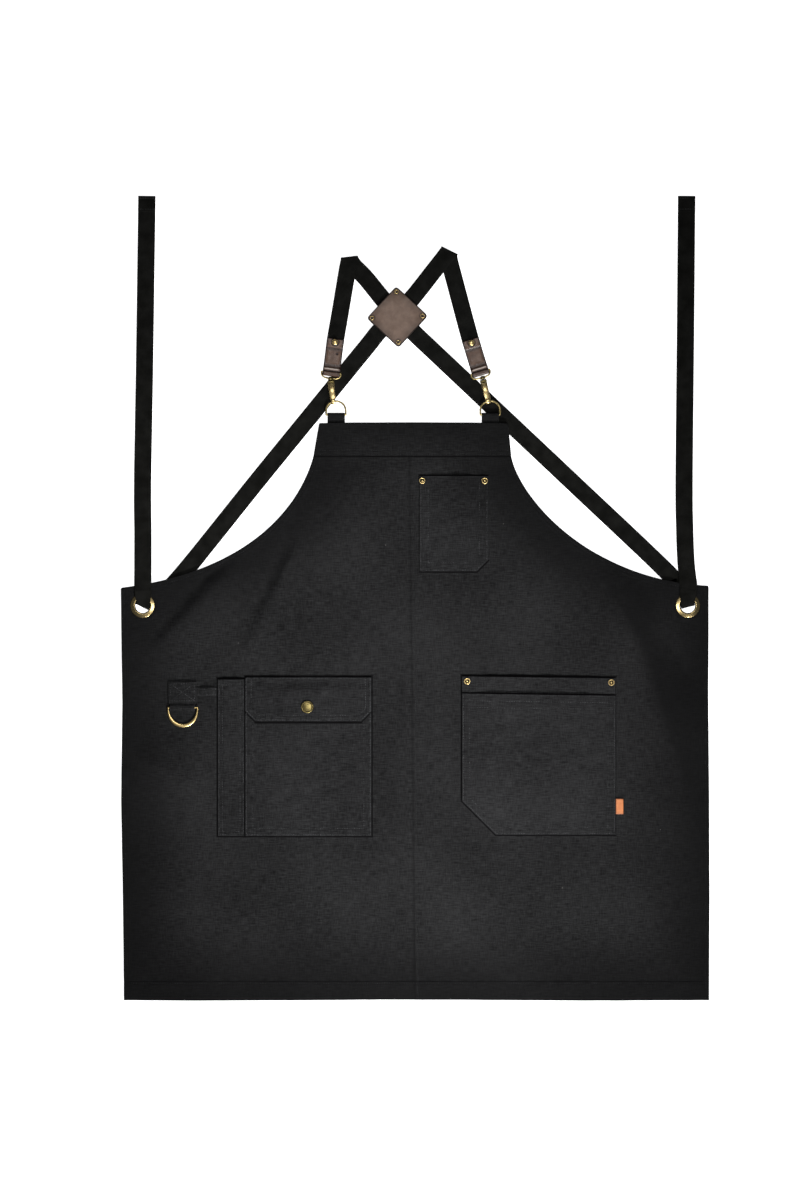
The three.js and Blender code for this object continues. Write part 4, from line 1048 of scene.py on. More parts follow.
def bib_ends(share):
    """Left and right ends of a row in the bib band, from its lower edge (0) to its top (1)."""
    below = (1 - share) * BIB_TALL
    ends = []
    for side, sign in (("left", 1), ("right", -1)):
        x, y = mix(np.array(ARMHOLES[side][3]), np.array(BIB_CORNERS[side]), share)
        ends += [x + sign * corner_inset(below, BIB_CORNER_ROUND[side]), y]
    return ends


def cloth_grid(ends):
    """Places in rows between pairs of ends, with the bib's bow and the hem's wave."""
    x, y = [], []
    for lx, ly, rx, ry in ends:
        row = body_columns(lx, rx, float(seam_x((ly + ry) / 2)))
        u = (row - lx) / (rx - lx)
        level = mix(ly, ry, u)
        up = smooth((level - BAND_BOTTOM) / BIB_TALL)
        hem_pull = 1 - smooth((level + HALF_LENGTH) / HEM_STEPS[-1])
        x.append(row)
        y.append(level + BIB_BOW * (1 - (2 * u - 1) ** 2) * up + (hem_y(row) + HALF_LENGTH) * hem_pull)
    return np.array(x), np.array(y)


def body_ends():
    """Ends of the body's rows, from the hem to the bib's top."""
    levels = [-HALF_LENGTH + step for step in HEM_STEPS]
    levels += list(np.linspace(levels[-1], SIDE_LEVELS[-1], SIDE_ROWS)[1:])
    left, right = (np.interp(levels, SIDE_LEVELS, SIDE_EDGES[side]) for side in ("left", "right"))
    ends = list(zip(left, levels, right, levels))
    for t in np.linspace(0, 1, ARMHOLE_ROWS):
        ends.append((*bezier(ARMHOLES["left"], t), *bezier(ARMHOLES["right"], t)))
    return ends + [bib_ends(share) for share in bib_shares()[1:]]


def bib_shares():
    """Shares of the way up the bib band, close together at its lower edge and at its top."""
    low = np.array(BAND_STEPS) / BIB_TALL
    high = 1 - np.array(BIB_TOP_STEPS) / BIB_TALL
    return [*low, *np.linspace(low[-1], 0.86, 8)[1:], *high]


def border_distance(x, y):
    """Distance to the grid's border, worked out from the grid's own edge lines."""
    edges = [(x[0], y[0]), (x[-1], y[-1]), (x[:, 0], y[:, 0]), (x[:, -1], y[:, -1])]
    lines = [np.stack(edge, -1) for edge in edges]
    return np.minimum.reduce([polyline_distance(x, y, line) for line in lines])


def open_eyelets(x, y):
    """Cells left open for the eyelets, with the places round each hole drawn to a circle."""
    skip = np.zeros((x.shape[0] - 1, x.shape[1] - 1), bool)
    for sign in (-1, 1):
        dx, dy = x - sign * GROMMET["x"], y - GROMMET["y"]
        radius = np.hypot(dx, dy)
        inside = radius < EYELET_HOLE
        hole = inside[:-1, :-1] | inside[:-1, 1:] | inside[1:, 1:] | inside[1:, :-1]
        skip |= hole
        cells = np.zeros(x.shape, bool)
        for r in (0, 1):
            for c in (0, 1):
                cells[r : x.shape[0] - 1 + r, c : x.shape[1] - 1 + c] |= hole
        rim = cells & ~inside
        x[rim] = sign * GROMMET["x"] + dx[rim] / radius[rim] * EYELET_HOLE
        y[rim] = GROMMET["y"] + dy[rim] / radius[rim] * EYELET_HOLE
    return skip


def inset_line(points, distance, side):
    """A side of the outline moved in by a distance, from the hem up to the band."""
    points = np.asarray(points, float)
    ahead = headings(points)
    sign = 1 if side == "left" else -1
    moved = points + distance * sign * np.stack([ahead[:, 1], -ahead[:, 0]], -1)
    keep = (moved[:, 1] > -HALF_LENGTH + 4) & (moved[:, 1] < BAND_BOTTOM)
    start = np.array([[moved[0, 0], -HALF_LENGTH + 3]])
    return np.concatenate([start, moved[keep]])


def across_line(y, left, right):
    return np.array([[left, y], [right, y]], float)


def build_body():
    x, y = cloth_grid(body_ends())
    distance = border_distance(x, y)
    skip = open_eyelets(x, y)
    low, top = rounded(cloth_low(x, y), body_thick(x, y), distance, EDGE_ROUND["body"])
    piece = sheet_piece("body_cloth", x, y, low, top, CANVAS_BODY, 1 - smooth(distance / 2), skip)
    finish_piece(piece, "canvas", ["apron_body"])
    up = np.linspace(-HALF_LENGTH + 3, BAND_BOTTOM - 1, 60)
    rows = [(inset_line(OUTLINES[side], NARROW_HEM["row"], side), body_top) for side in ("left", "right")]
    rows.append((across_line(HEM["top"] - HEM["row"], *HEM_ROW_ENDS), body_top))
    rows.append((np.stack([seam_x(up) + SEAM["row"], up], -1), body_top))
    stitches_piece("body_stitches", rows, 21, THREAD_BODY)


def band_thick(x, y):
    from_seam = x - seam_x(y)
    rows = sum(ROW_DEPTH["band"] * bump(y - BAND_BOTTOM - row, ROW_WIDE) for row in BAND_ROWS)
    return CANVAS + 0.25 + SEAM["ridge"] * 0.8 * bump(from_seam, SEAM["wide"]) - rows


def band_low(x, y):
    return cloth_low(x, y) + ON_BODY - 0.2


def band_top(x, y):
    return band_low(x, y) + band_thick(x, y)


def build_band():
    """The band along the bib's top, with two stitch rows above its lower edge."""
    x, y = cloth_grid([bib_ends(share) for share in bib_shares()])
    distance = border_distance(x, y)
    low, top = rounded(band_low(x, y), band_thick(x, y), distance, EDGE_ROUND["band"])
    piece = sheet_piece("band_cloth", x, y, low, top, CANVAS_BODY, 1 - smooth(distance / 2))
    finish_piece(piece, "canvas", ["bib_band"])
    rows = [(across_line(BAND_BOTTOM + row, *BAND_ROW_ENDS), band_top) for row in BAND_ROWS]
    stitches_piece("band_stitches", rows, 22, THREAD_BODY)


build_body()
build_band()


# Pockets

def pocket_swell(shape, x, y):
    from_side = np.minimum(x - shape["left"], shape["right"] - x)
    up = (y - shape["bottom"]) / (shape["top"] - shape["bottom"])
    ramp = smooth((from_side - shape["edge"]) / shape["ramp"])
    return shape["swell"] * ramp * smooth(up / SWELL_FLAT_FROM)


class Panel:
    """A pocket or flap: its outline, its heights, its stitch rows and its sheet of cloth."""

    def __init__(self, name, shape, chamfer, low, rows, hem_rows=(), lip=0.5, tilt=0.0):
        self.name, self.shape, self.chamfer = name, shape, chamfer
        self.low, self.rows, self.hem_rows = low, rows, hem_rows
        self.lip, self.tilt = lip, tilt

    def sewn(self, x, y):
        """Distance in from the sides, the bottom and the cut corners."""
        s = self.shape
        y = y - self.lean(x, y)
        from_sides = (x - s["left"], s["right"] - x)
        inside = np.minimum(np.minimum(*from_sides), y - s["bottom"])
        for from_side, cut in zip(from_sides, self.chamfer):
            if cut:
                inside = np.minimum(inside, (from_side + y - s["bottom"] - cut) / math.sqrt(2))
        return inside

    def lean(self, x, y):
        """The top edge's slope across the cloth, dying away towards the bottom."""
        s = self.shape
        middle = (s["left"] + s["right"]) / 2
        up = smooth((y - s["bottom"]) / (s["top"] - s["bottom"]))
        return self.tilt * up * (x - middle) / (s["right"] - middle)

    def mouth(self, x, y):
        return self.shape["top"] - y + self.lean(x, y)

    def thick(self, x, y):
        inside, below = self.sewn(x, y), self.mouth(x, y)
        slope = TURNED_IN["slope"]
        allowance = self.lip * (1 - smooth((inside - TURNED_IN["sides"]) / slope))
        hem = self.lip * (1 - smooth((below - TURNED_IN["mouth"]) / slope)) if self.hem_rows else 0
        pull = sum(ROW_DEPTH["sewn"] * bump(inside - row, ROW_WIDE) for row in self.rows)
        pull = pull + sum(ROW_DEPTH["mouth"] * bump(below - row, ROW_WIDE) for row in self.hem_rows)
        return CANVAS + np.maximum(allowance, hem) - pull

    def top(self, x, y):
        return self.low(x, y) + self.thick(x, y) + self.slack(x, y)

    def slack(self, x, y):
        """Unevenness of the cloth: puckers between the stitch rows and faint waves further in."""
        inside = self.sewn(x, y)
        window = smooth(inside / 2) * (1 - smooth((inside - 11) / 3))
        waves = np.clip(fine_waves(x * 1.1 + 40, y * 1.1), -1, 1.5)
        puckers = np.clip(pucker_waves(x, y), -1.5, 1.5)
        return 0.2 * puckers * window + 0.6 * waves * smooth((inside - 6) / 16)

    def grid(self, spacing=2.6):
        s = self.shape
        tall = s["top"] - s["bottom"]
        edge = EDGE_STEPS[-1]
        fine = np.array(EDGE_STEPS)
        inner_rows = np.linspace(edge, tall - edge, max(4, int((tall - 2 * edge) / spacing)))[1:-1]
        levels = np.concatenate([s["bottom"] + fine, s["bottom"] + inner_rows, s["top"] - fine[::-1]])
        wide = s["right"] - s["left"]
        columns = max(4, int((wide - 2 * edge) / spacing))
        x, y = [], []
        for level in levels:
            up = level - s["bottom"]
            left = s["left"] + max(0, self.chamfer[0] - up)
            right = s["right"] - max(0, self.chamfer[1] - up)
            share = np.linspace(0, 1, columns)[1:-1]
            row = np.concatenate([left + fine, mix(left + edge, right - edge, share), right - fine[::-1]])
            x.append(row)
            y.append(level + self.lean(row, np.full(row.shape, level)))
        return np.array(x), np.array(y)

    def build(self, nodes):
        x, y = self.grid()
        distance = np.maximum(0, np.minimum(self.sewn(x, y), self.mouth(x, y)))
        slack_low = self.low(x, y) + self.slack(x, y)
        low, top = rounded(slack_low, self.thick(x, y), distance, EDGE_ROUND["panel"])
        low = np.maximum(low, self.low(x, y) - 0.2)
        piece = sheet_piece(self.name + "_cloth", x, y, low, top, CANVAS_PANELS, 1 - smooth(distance / 2))
        finish_piece(piece, "canvas", nodes)
        s = self.shape
        wide, tall = (s["right"] - s["left"]) * MM, (s["top"] - s["bottom"]) * MM
        cut_away = sum(size**2 / 2 for size in self.chamfer) * MM * MM
        wide * tall - cut_away

    def corner(self, side, sign, cut, distance):
        """A lower corner of the line a distance in from the edges: from the side to the bottom."""
        s = self.shape
        if not cut:
            return [(s[side] + sign * distance, s["bottom"] + distance)]
        turn = distance * (math.sqrt(2) - 1)
        up = (s[side] + sign * distance, s["bottom"] + cut + turn)
        return [up, (s[side] + sign * cut + sign * turn, s["bottom"] + distance)]

    def inset(self, distance):
        """The line a distance in from the sewn edges, from the top left round to the top right."""
        s = self.shape
        start = s["top"] - ROW_ENDS["sewn"]
        down = [(s["left"] + distance, start), *self.corner("left", 1, self.chamfer[0], distance)]
        up = [(s["right"] - distance, start), *self.corner("right", -1, self.chamfer[1], distance)]
        return np.array(down + up[::-1])

    def stitch(self, seed):
        rows = [(self.inset(row), self.top) for row in self.rows]
        s = self.shape
        for row in self.hem_rows:
            ends = np.array([s["left"] + ROW_ENDS["mouth"], s["right"] - ROW_ENDS["mouth"]])
            level = np.full(2, s["top"] - row)
            rows.append((np.stack([ends, level + self.lean(ends, level)], -1), self.top))
        stitches_piece(self.name + "_stitches", rows, seed)


def on_body(shape):
    def low(x, y):
        return ON_BODY + pocket_swell(shape, x, y)

    return low


def hand_front_low(x, y):
    return on_body(HAND)(x, y) + CANVAS + GAP + pocket_swell(HAND_FRONT, x, y)


def flap_low(x, y):
    over = CANVAS + GAP + pocket_swell(POUCH, x, np.full(np.shape(x), POUCH["top"]))
    return ON_BODY + over * (1 - smooth((y - FLAP["rise_end"]) / (FLAP["top"] - 4 - FLAP["rise_end"])))


def build_pockets():
    none, hand = CHAMFERS["none"], CHAMFERS["hand"]
    chest = Panel("chest_pocket", CHEST, CHAMFERS["chest"], on_body(CHEST), (2, 12))
    pen = Panel("pen_pocket", PEN, none, on_body(PEN), (2, 6.5), (8,), lip=0.4)
    pouch = Panel("pouch", POUCH, none, on_body(POUCH), (2, 10.5))
    hand_back = Panel("hand_back", HAND, hand, on_body(HAND), (2,), lip=0.2, tilt=TILTS["hand_back"])
    hand_front = Panel(
        "hand_front", HAND_FRONT, hand, hand_front_low, (2, 10.5), (10, 19), tilt=TILTS["hand_front"])
    flap = Panel("flap", FLAP, CHAMFERS["flap"], flap_low, (2.2, 8.5), lip=0.6)
    chest.build(["chest_pocket"])
    pen.build(["pen_pocket"])
    pouch.build(["flap_pouch"])
    hand_back.build(["hand_pocket_back"])
    hand_front.build(["hand_pocket_front"])
    flap.build(["pocket_flap"])
    for seed, panel in enumerate((chest, pen, pouch, hand_front, flap)):
        panel.stitch(30 + seed)


build_pockets()


# Tabs, loops and the tag

def flat_surface(height):
    """A flat surface for stitches to lie on."""
    def surface(x, y):
        return np.full(np.shape(x), height)

    return surface


def canvas_strip(node, origin, direction, profile, step=0.7):
    """A bent strip of canvas."""
    piece, long = bent_strip(node + "_cloth", origin, direction, profile, CANVAS, CANVAS_PANELS, step)
    finish_piece(piece, "canvas", [node])
    2 * profile[0][2] * MM


def build_ring_tab():
    """Doubled canvas round the tool ring's bar, sewn down with a crossed box."""
    back = ON_BODY + CANVAS / 2
    front = back + CANVAS + GAP
    bar = RING_TAB["top"] - TOOL_RING["y"]
    roll = TOOL_RING["wire"] + GAP + CANVAS / 2
    z, half, loop = TOOL_RING["z"], RING_TAB["half"], RING_TAB["loop_half"]
    sewn, free = RING_TAB["sewn"], RING_TAB["sewn"] + 2
    profile = [
        (0, front, half), (sewn, front, half), (free, mix(front, z + roll, 0.2), loop),
        (bar - 2, z + roll, loop), (bar + 1.5, z + roll, loop), (bar + 4, z + roll * 0.6, loop),
        (bar + 4.7, z, loop), (bar + 4, z - roll * 0.6, loop), (bar + 1.5, back, loop), (free, back, loop),
        (sewn, back, half), (0, back, half),
    ]
    top = RING_TAB["top"]
    canvas_strip("ring_tab", (RING_TAB["x"], top), (0, -1), profile)
    edge, deep = RING_TAB["box"]
    left, right = RING_TAB["x"] - half + edge, RING_TAB["x"] + half - edge
    high, low = top - edge, top - deep
    box = [(left, high), (right, high), (right, low), (left, low), (left, high)]
    paths = [box, [(left, high), (right, low)], [(right, high), (left, low)]]
    surface = flat_surface(front + CANVAS / 2 + STITCH["lift"])
    stitches_piece("ring_tab_stitches", [(path, surface) for path in paths], 41)


def build_tool_loop():
    """A narrow canvas loop between the ring's tab and the pen pocket."""
    left, right, half = TOOL_LOOP["left"], TOOL_LOOP["right"], TOOL_LOOP["half"]
    foot, slope, rise = TOOL_LOOP["foot"], TOOL_LOOP["slope"], TOOL_LOOP["rise"]
    low = ON_BODY + CANVAS / 2
    span = right - left
    distances = [0, foot, foot + slope, span - foot - slope, span - foot, span]
    heights = [low, low, low + rise, low + rise, low, low]
    profile = [(s, z, half) for s, z in zip(distances, heights)]
    canvas_strip("tool_loop", (left, TOOL_LOOP["y"]), (1, 0), profile, 0.5)
    line = rounded_corners(profile)

    def surface(x, y):
        return np.interp(x - left, line[:, 0], line[:, 1]) + CANVAS / 2 + STITCH["lift"]

    levels = [TOOL_LOOP["y"] + side * (half - 2) for side in (-1, 1)]
    rows = [(across_line(y, left + 1, right - 1), surface) for y in levels]
    stitches_piece("tool_loop_stitches", rows, 42)


def build_side_tag():
    """A folded leather tag caught in the hand pocket's side seam."""
    thick = SIDE_TAG["thick"]
    low = ON_BODY + thick / 2
    high = low + thick + GAP
    reach = SIDE_TAG["right"] - SIDE_TAG["left"] - thick / 2
    bend = (high - low) / 2
    turn = [(0, high), (reach - bend, high), (reach - bend * 0.3, high - bend * 0.3), (reach, low + bend)]
    turn += [(reach - bend * 0.3, low + bend * 0.3), (reach - bend, low), (0, low)]
    profile = [(s, z, SIDE_TAG["half"]) for s, z in turn]
    place = (SIDE_TAG["left"], SIDE_TAG["y"])
    piece, _ = bent_strip("side_tag_hide", place, (1, 0), profile, thick, LEATHER_TAN, 0.3)
    finish_piece(piece, "tan_leather", ["side_tag"])


def build_bib_tab(side):
    """Doubled canvas from behind the bib, round the ring's bar."""
    bar_y, bar_z = BIB_RING["bar_y"], BIB_RING["bar_z"]
    roll = BIB_RING["wire"] + GAP + CANVAS / 2
    start, bend, step, top = (BIB_TAB[key] for key in ("foot", "bend", "step", "top"))
    low = CANVAS / 2
    layers = CANVAS + GAP
    over = BIB_TAB["over"] + CANVAS / 2
    levels = [
        (start, low + layers), (bend, low + layers), (step, over + layers), (top, over + layers),
        (bar_y - 3.5, mix(over + layers, bar_z + roll, 0.6)), (bar_y - 0.5, bar_z + roll),
        (bar_y + roll * 0.7, bar_z + roll * 0.7), (bar_y + roll, bar_z),
        (bar_y + roll * 0.7, bar_z - roll * 0.7), (bar_y - 0.5, bar_z - roll),
        (top, over), (step, over), (bend, low), (start, low),
    ]
    profile = [(y - start, z, BIB_TAB["half"]) for y, z in levels]
    place = (SIDES[side]["bib_tab_x"], start)
    canvas_strip(f"bib_tab_{side}", place, (0, 1), profile)


def tab_line(side):
    """The direction and the length of a leather tab."""
    run = np.subtract(SIDES[side]["tab_foot"], SIDES[side]["tab_top"])
    return unit(run), float(np.linalg.norm(run))


def build_leather_tab(side):
    """Brown leather folded round the eye's bar, riveted over the end of the strap."""
    axis, long = tab_line(side)
    roll = EYE["wire"] + GAP + LEATHER / 2
    bar = long + EYE["past_tab"] + TAB_SLACK
    z = EYE["z"]
    back = z - roll
    folded = back + LEATHER + GAP
    over = folded + WEBBING["thick"] + GAP
    levels = [
        (0, over), (10, over), (14.5, folded), (35, folded), (bar - 6, mix(folded, z + roll, 0.45)),
        (bar - 2.5, z + roll), (bar, z + roll), (bar + roll * 0.7, z + roll * 0.7), (bar + roll, z),
        (bar + roll * 0.7, z - roll * 0.7), (bar, back), (0, back),
    ]
    profile = [(s, height, TAB_HALF) for s, height in levels]
    punched = side == TAB_PUNCH["side"]

    def dents(s, offset):
        step = 0.4 * bump(s - TAB_STEP, 1.1) + 0.35 * bump(np.hypot(s - TAB_RIVET, offset) - 5.2, 0.7)
        pad = 0.35 * smooth((TAB_HALF - 2.4 - np.abs(offset)) / 2)
        pad = pad * smooth((s - 15) / 3) * smooth((35 - s) / 3)
        from_punch = np.hypot(s - TAB_PUNCH["along"], offset - TAB_PUNCH["across"])
        hole = 0.5 * bump(from_punch, 1.4) if punched else 0
        return 0.95 * bump(s - TAB_RIDGE, 1.3) + pad - marks(s, TAB_GROOVES) - step - hole

    # Darker side margins and the punch mark, with painted shade and painted highlights, carried in the edge
    # attribute
    def leather_marks_and_painted_light(s, offset):
        margin = 0.55 * (1 - smooth((TAB_HALF - np.abs(offset) - 2) / 1.5))
        from_rivet = np.hypot(s - TAB_RIVET, offset)
        from_punch = np.hypot(s - TAB_PUNCH["along"], offset - TAB_PUNCH["across"])
        hole = 1 - smooth((from_punch - 1.5) / 0.7) if punched else 0
        # Painted shade: bands by the step and the ridge, the leather turning under the bar, and a ring
        # round the rivet's foot
        shade_bands = marks(s, TAB_SHADE_BANDS) + 0.4 * smooth((s - 46) / 2)
        dark = np.maximum(np.maximum(margin, hole), np.maximum(0.8 * bump(from_rivet - 4.6, 0.9), shade_bands))
        # Painted highlights on the ridge and in a ring round the rivet
        crest = 0.9 * bump(s - TAB_RIDGE - 0.1, 1.1) + 0.25 * bump(from_rivet - 6.4, 0.7) * (s > 5)
        return np.minimum(dark, 1) - crest * (np.abs(offset) < TAB_HALF - 1.5)

    name, top = f"leather_tab_{side}_hide", SIDES[side]["tab_top"]
    piece, _ = bent_strip(name, top, axis, profile, LEATHER, LEATHER_TAB, 0.5, 31, dents, leather_marks_and_painted_light)
    finish_piece(piece, "brown_leather", [f"leather_tab_{side}"])


build_ring_tab()
build_tool_loop()
build_side_tag()
for hand in SIDES:
    build_bib_tab(hand)
    build_leather_tab(hand)


# Back patch

def rounded_square(a, b):
    """Grid places of a square, with the outer ones drawn in to rounded corners."""
    half, radius = PATCH["half"], PATCH["corner"]
    ring = np.maximum(np.maximum(np.abs(a), np.abs(b)), 1e-6)
    ux, uy = np.abs(a) / ring, np.abs(b) / ring
    core = half - radius
    along = core * (ux + uy)
    norm = ux**2 + uy**2
    inside = np.maximum(along**2 - norm * (2 * core**2 - radius**2), 0)
    reach = (along + np.sqrt(inside)) / norm
    in_corner = np.minimum(ux, uy) * half > core
    scale = np.where(in_corner, reach / half, 1.0)
    return a * scale, b * scale, half - ring


def patch_grid():
    fine = np.array(PATCH_STEPS)
    half, edge = PATCH["half"], PATCH_STEPS[-1]
    inner = np.linspace(-half + edge, half - edge, 44)[1:-1]
    ticks = np.concatenate([-half + fine, inner, half - fine[::-1]])
    return rounded_square(*np.meshgrid(ticks, ticks))


def patch_place(a, b):
    turn = math.radians(PATCH["turn"])
    x = PATCH["x"] + a * math.cos(turn) - b * math.sin(turn)
    return x, PATCH["y"] + a * math.sin(turn) + b * math.cos(turn)


def build_patch():
    """Two leather squares; the front one bends down to the back one between the straps."""
    a, b, distance = patch_grid()
    x, y = patch_place(a, b)
    corner = PATCH["back_thick"] + GAP + PATCH["stand_off"]
    upper_top = STRAPS["right"]["crossing"] + FLOOR_LEVEL + GAP
    run = PATCH["foot"] - PATCH["strap_half"]

    def pulled(d):
        return smooth((np.abs(d) - PATCH["strap_half"]) / run)

    low = mix(upper_top, corner, pulled(a) * pulled(b))
    wave = 0.05 * fine_waves(x * 1.3, y * 1.3)
    rivet = np.hypot(np.abs(a) - PATCH["rivet"], np.abs(b) - PATCH["rivet"])
    # Dark burnished rim at the outline, and a broad darkening within 13 mm of it that leaves the middle
    # lighter as painted glare; darker round each rivet
    edge = np.maximum(1 - smooth((distance - 0.7) / 1.8), 0.38 * (1 - smooth(distance / 13)))
    edge = np.maximum(edge, 0.8 * (1 - smooth((rivet - 2.2) / 5)))
    front_low = low + 0.4 + np.maximum(wave, -0.1)
    front_low, front_top = rounded(front_low, LEATHER, distance, EDGE_ROUND["leather"])
    front = sheet_piece("patch_front_hide", x, y, front_low, front_top, LEATHER_BROWN, edge)
    finish_piece(front, "brown_leather", ["patch_front"])
    back_low, back_top = rounded(np.zeros(x.shape), PATCH["back_thick"], distance, EDGE_ROUND["leather"])
    back = sheet_piece("patch_back_hide", x, y, back_low, back_top, LEATHER_BROWN, edge)
    finish_piece(back, "brown_leather", ["patch_back"])


build_patch()


# Straps

def towards(a, b, distance):
    return np.asarray(a, float) + unit(np.subtract(b, a)) * distance


def curve_through(points):
    """A smooth line through plan points, with the height eased and the width run evenly between them."""
    points = np.asarray(points, float)
    padded = np.concatenate([[2 * points[0] - points[1]], points, [2 * points[-1] - points[-2]]])
    dense = []
    for i in range(1, len(padded) - 2):
        before, start, end, after = padded[i - 1 : i + 3, :2]
        t = np.linspace(0, 1, 41)[:-1][:, None]
        plan = 0.5 * (
            2 * start + (end - before) * t
            + (2 * before - 5 * start + 4 * end - after) * t**2
            + (3 * start - before - 3 * end + after) * t**3
        )
        eased = mix(padded[i, 2], padded[i + 1, 2], smooth(t))
        width = mix(padded[i, 3], padded[i + 1, 3], t)
        dense.append(np.concatenate([plan, eased, width], 1))
    dense.append(points[-1:])
    return np.concatenate(dense)


def flat_sections(points, flip):
    """Sections square to the route: two edges and a normal; flip is -1 where the webbing is turned over."""
    line, _ = even_steps(curve_through(points), RIB_STEP)
    ahead = headings(line[:, :3])
    left = np.stack([-ahead[:, 1], ahead[:, 0], np.zeros(len(line))], -1)
    left /= np.linalg.norm(left, axis=1, keepdims=True)
    up = np.cross(ahead, left)
    reach = left * line[:, 3:4] * flip
    return np.stack([line[:, :3] + reach, line[:, :3] - reach, up * flip], 1)


def fold_way(crease, arriving):
    """The level direction square to a crease, on the side that a strap goes to."""
    across = np.array([-crease[1], crease[0]])
    return across * (1 if across @ arriving > 0 else -1)


def crease_sections(centre, arriving, leaving, half, levels, flip, crease_turn=0, share=1):
    """A turn over a crease: the webbing comes along one direction, goes round and leaves along another."""
    from_z, to_z = levels
    crease = turn_z(np.array([*unit(arriving + leaving), 0]), math.radians(crease_turn))[:2]
    lean = abs(arriving[0] * crease[1] - arriving[1] * crease[0])
    reach = share * half / max(lean, 0.5)
    side = np.sign(crease @ np.array([-arriving[1], arriving[0]])) * flip
    outward_way = fold_way(crease, arriving)
    radius = abs(to_z - from_z) / 2
    climb = np.sign(to_z - from_z)
    sections = []
    for angle in np.radians(np.linspace(-90, 90, 15)):
        radial = np.array([*(outward_way * math.cos(angle)), climb * math.sin(angle)])
        middle = np.array([*centre, (from_z + to_z) / 2]) + radial * radius
        along = np.array([*crease, 0]) * side * reach
        sections.append([middle + along, middle - along, -climb * flip * radial])
    return np.array(sections)


def bridge(before, after):
    """Sections between two others, straight along both edges."""
    count = max(2, int(np.linalg.norm(after[:2] - before[:2], axis=1).max() / RIB_STEP))
    share = (np.arange(1, count) / count)[:, None, None]
    return mix(before[None], after[None], share)


def shoulder_run(side, level_z):
    """From under the leather tab up to the shoulder fold."""
    start = np.array(SIDES[side]["tab_top"])
    end = np.array(STRAPS[side]["fold"]) + STRAPS[side]["front_shift"]
    stations = [
        (start + tab_line(side)[0] * 7.5, TAB_LEVEL), (towards(start, end, 3), TAB_LEVEL),
        (towards(start, end, 26), FLOOR_LEVEL + 0.5), (towards(start, end, 50), FLOOR_LEVEL),
        (towards(end, start, 36), level_z), (towards(end, start, 14), level_z),
    ]
    return [(*at, z, WEBBING["half"]) for at, z in stations]


def back_run(side, level_z, grommet, bend):
    """From the shoulder fold, through the patch and behind the body, to the eyelet."""
    route = STRAPS[side]
    fold, leave, past, body_edge = (np.array(route[key]) for key in ("fold", "leave", "past", "body_edge"))
    enter = towards(PATCH_MIDDLE, fold, PATCH["half"] + 3)
    crossing = route["crossing"]
    stations = [
        (towards(fold, PATCH_MIDDLE, 14) + np.array(route["back_shift"]), level_z),
        (towards(fold, PATCH_MIDDLE, 36), level_z),
        (enter, crossing), (mix(enter, leave, 0.5), crossing), (leave, crossing - 0.9),
        (towards(leave, past, 26), FLOOR_LEVEL), (towards(leave, past, 150), FLOOR_LEVEL),
        (past, FLOOR_LEVEL), (body_edge, FLOOR_LEVEL),
    ]
    run = [(*at, z, WEBBING["half"]) for at, z in stations]
    run.append((*towards(grommet, body_edge, 30), FLOOR_LEVEL, 10.5))
    run.append((*towards(bend, body_edge, 11), FLOOR_LEVEL, GROMMET_SQUEEZE))
    return run


def tie_run(side, bend):
    """From the eyelet up along the tie."""
    first = np.array(STRAPS[side]["tie"][0])
    run = [(*towards(bend, first, 10), TIE_LEVEL, 10.8), (*towards(bend, first, 17), TIE_LEVEL, 11.4)]
    return run + [(*at, z, WEBBING["half"]) for at, z in zip(STRAPS[side]["tie"], TIE_LEVELS)]


def strap_sections(side):
    """The whole strap: the leather tab's end, shoulder fold, patch, eyelet and tie."""
    route = STRAPS[side]
    fold, first_tie = np.array(route["fold"]), np.array(route["tie"][0])
    levels = (UPPER_LEVEL, FLOOR_LEVEL) if route["front_on_top"] else (FLOOR_LEVEL, UPPER_LEVEL)
    arriving, leaving = unit(fold - np.array(SIDES[side]["tab_top"])), unit(PATCH_MIDDLE - fold)
    shape = (route["crease_turn"], route["crease_share"])
    shoulder = crease_sections(fold, arriving, leaving, WEBBING["half"], levels, 1, *shape)
    grommet = np.array([np.sign(route["past"][0]) * GROMMET["x"], GROMMET["y"]])
    arriving = unit(grommet - np.array(route["body_edge"]))
    bend = bend_centre(grommet, arriving)
    climb = (FLOOR_LEVEL, TIE_LEVEL)
    eyelet = crease_sections(bend, arriving, unit(first_tie - bend), GROMMET_SQUEEZE, climb, -1)
    front = flat_sections(shoulder_run(side, levels[0]), 1)
    back = flat_sections(back_run(side, levels[1], grommet, bend), -1)
    joined = [front]
    for run in (shoulder, back, eyelet, flat_sections(tie_run(side, bend), 1)):
        joined += [bridge(joined[-1][-1], run[0]), run]
    return np.concatenate(joined)


def bend_centre(grommet, arriving):
    """The turn's axis stands back from the eyelet's middle, so that the webbing fills its upper half."""
    return grommet - fold_way(unit(arriving + np.array([0, 1])), arriving) * GROMMET_SET_BACK


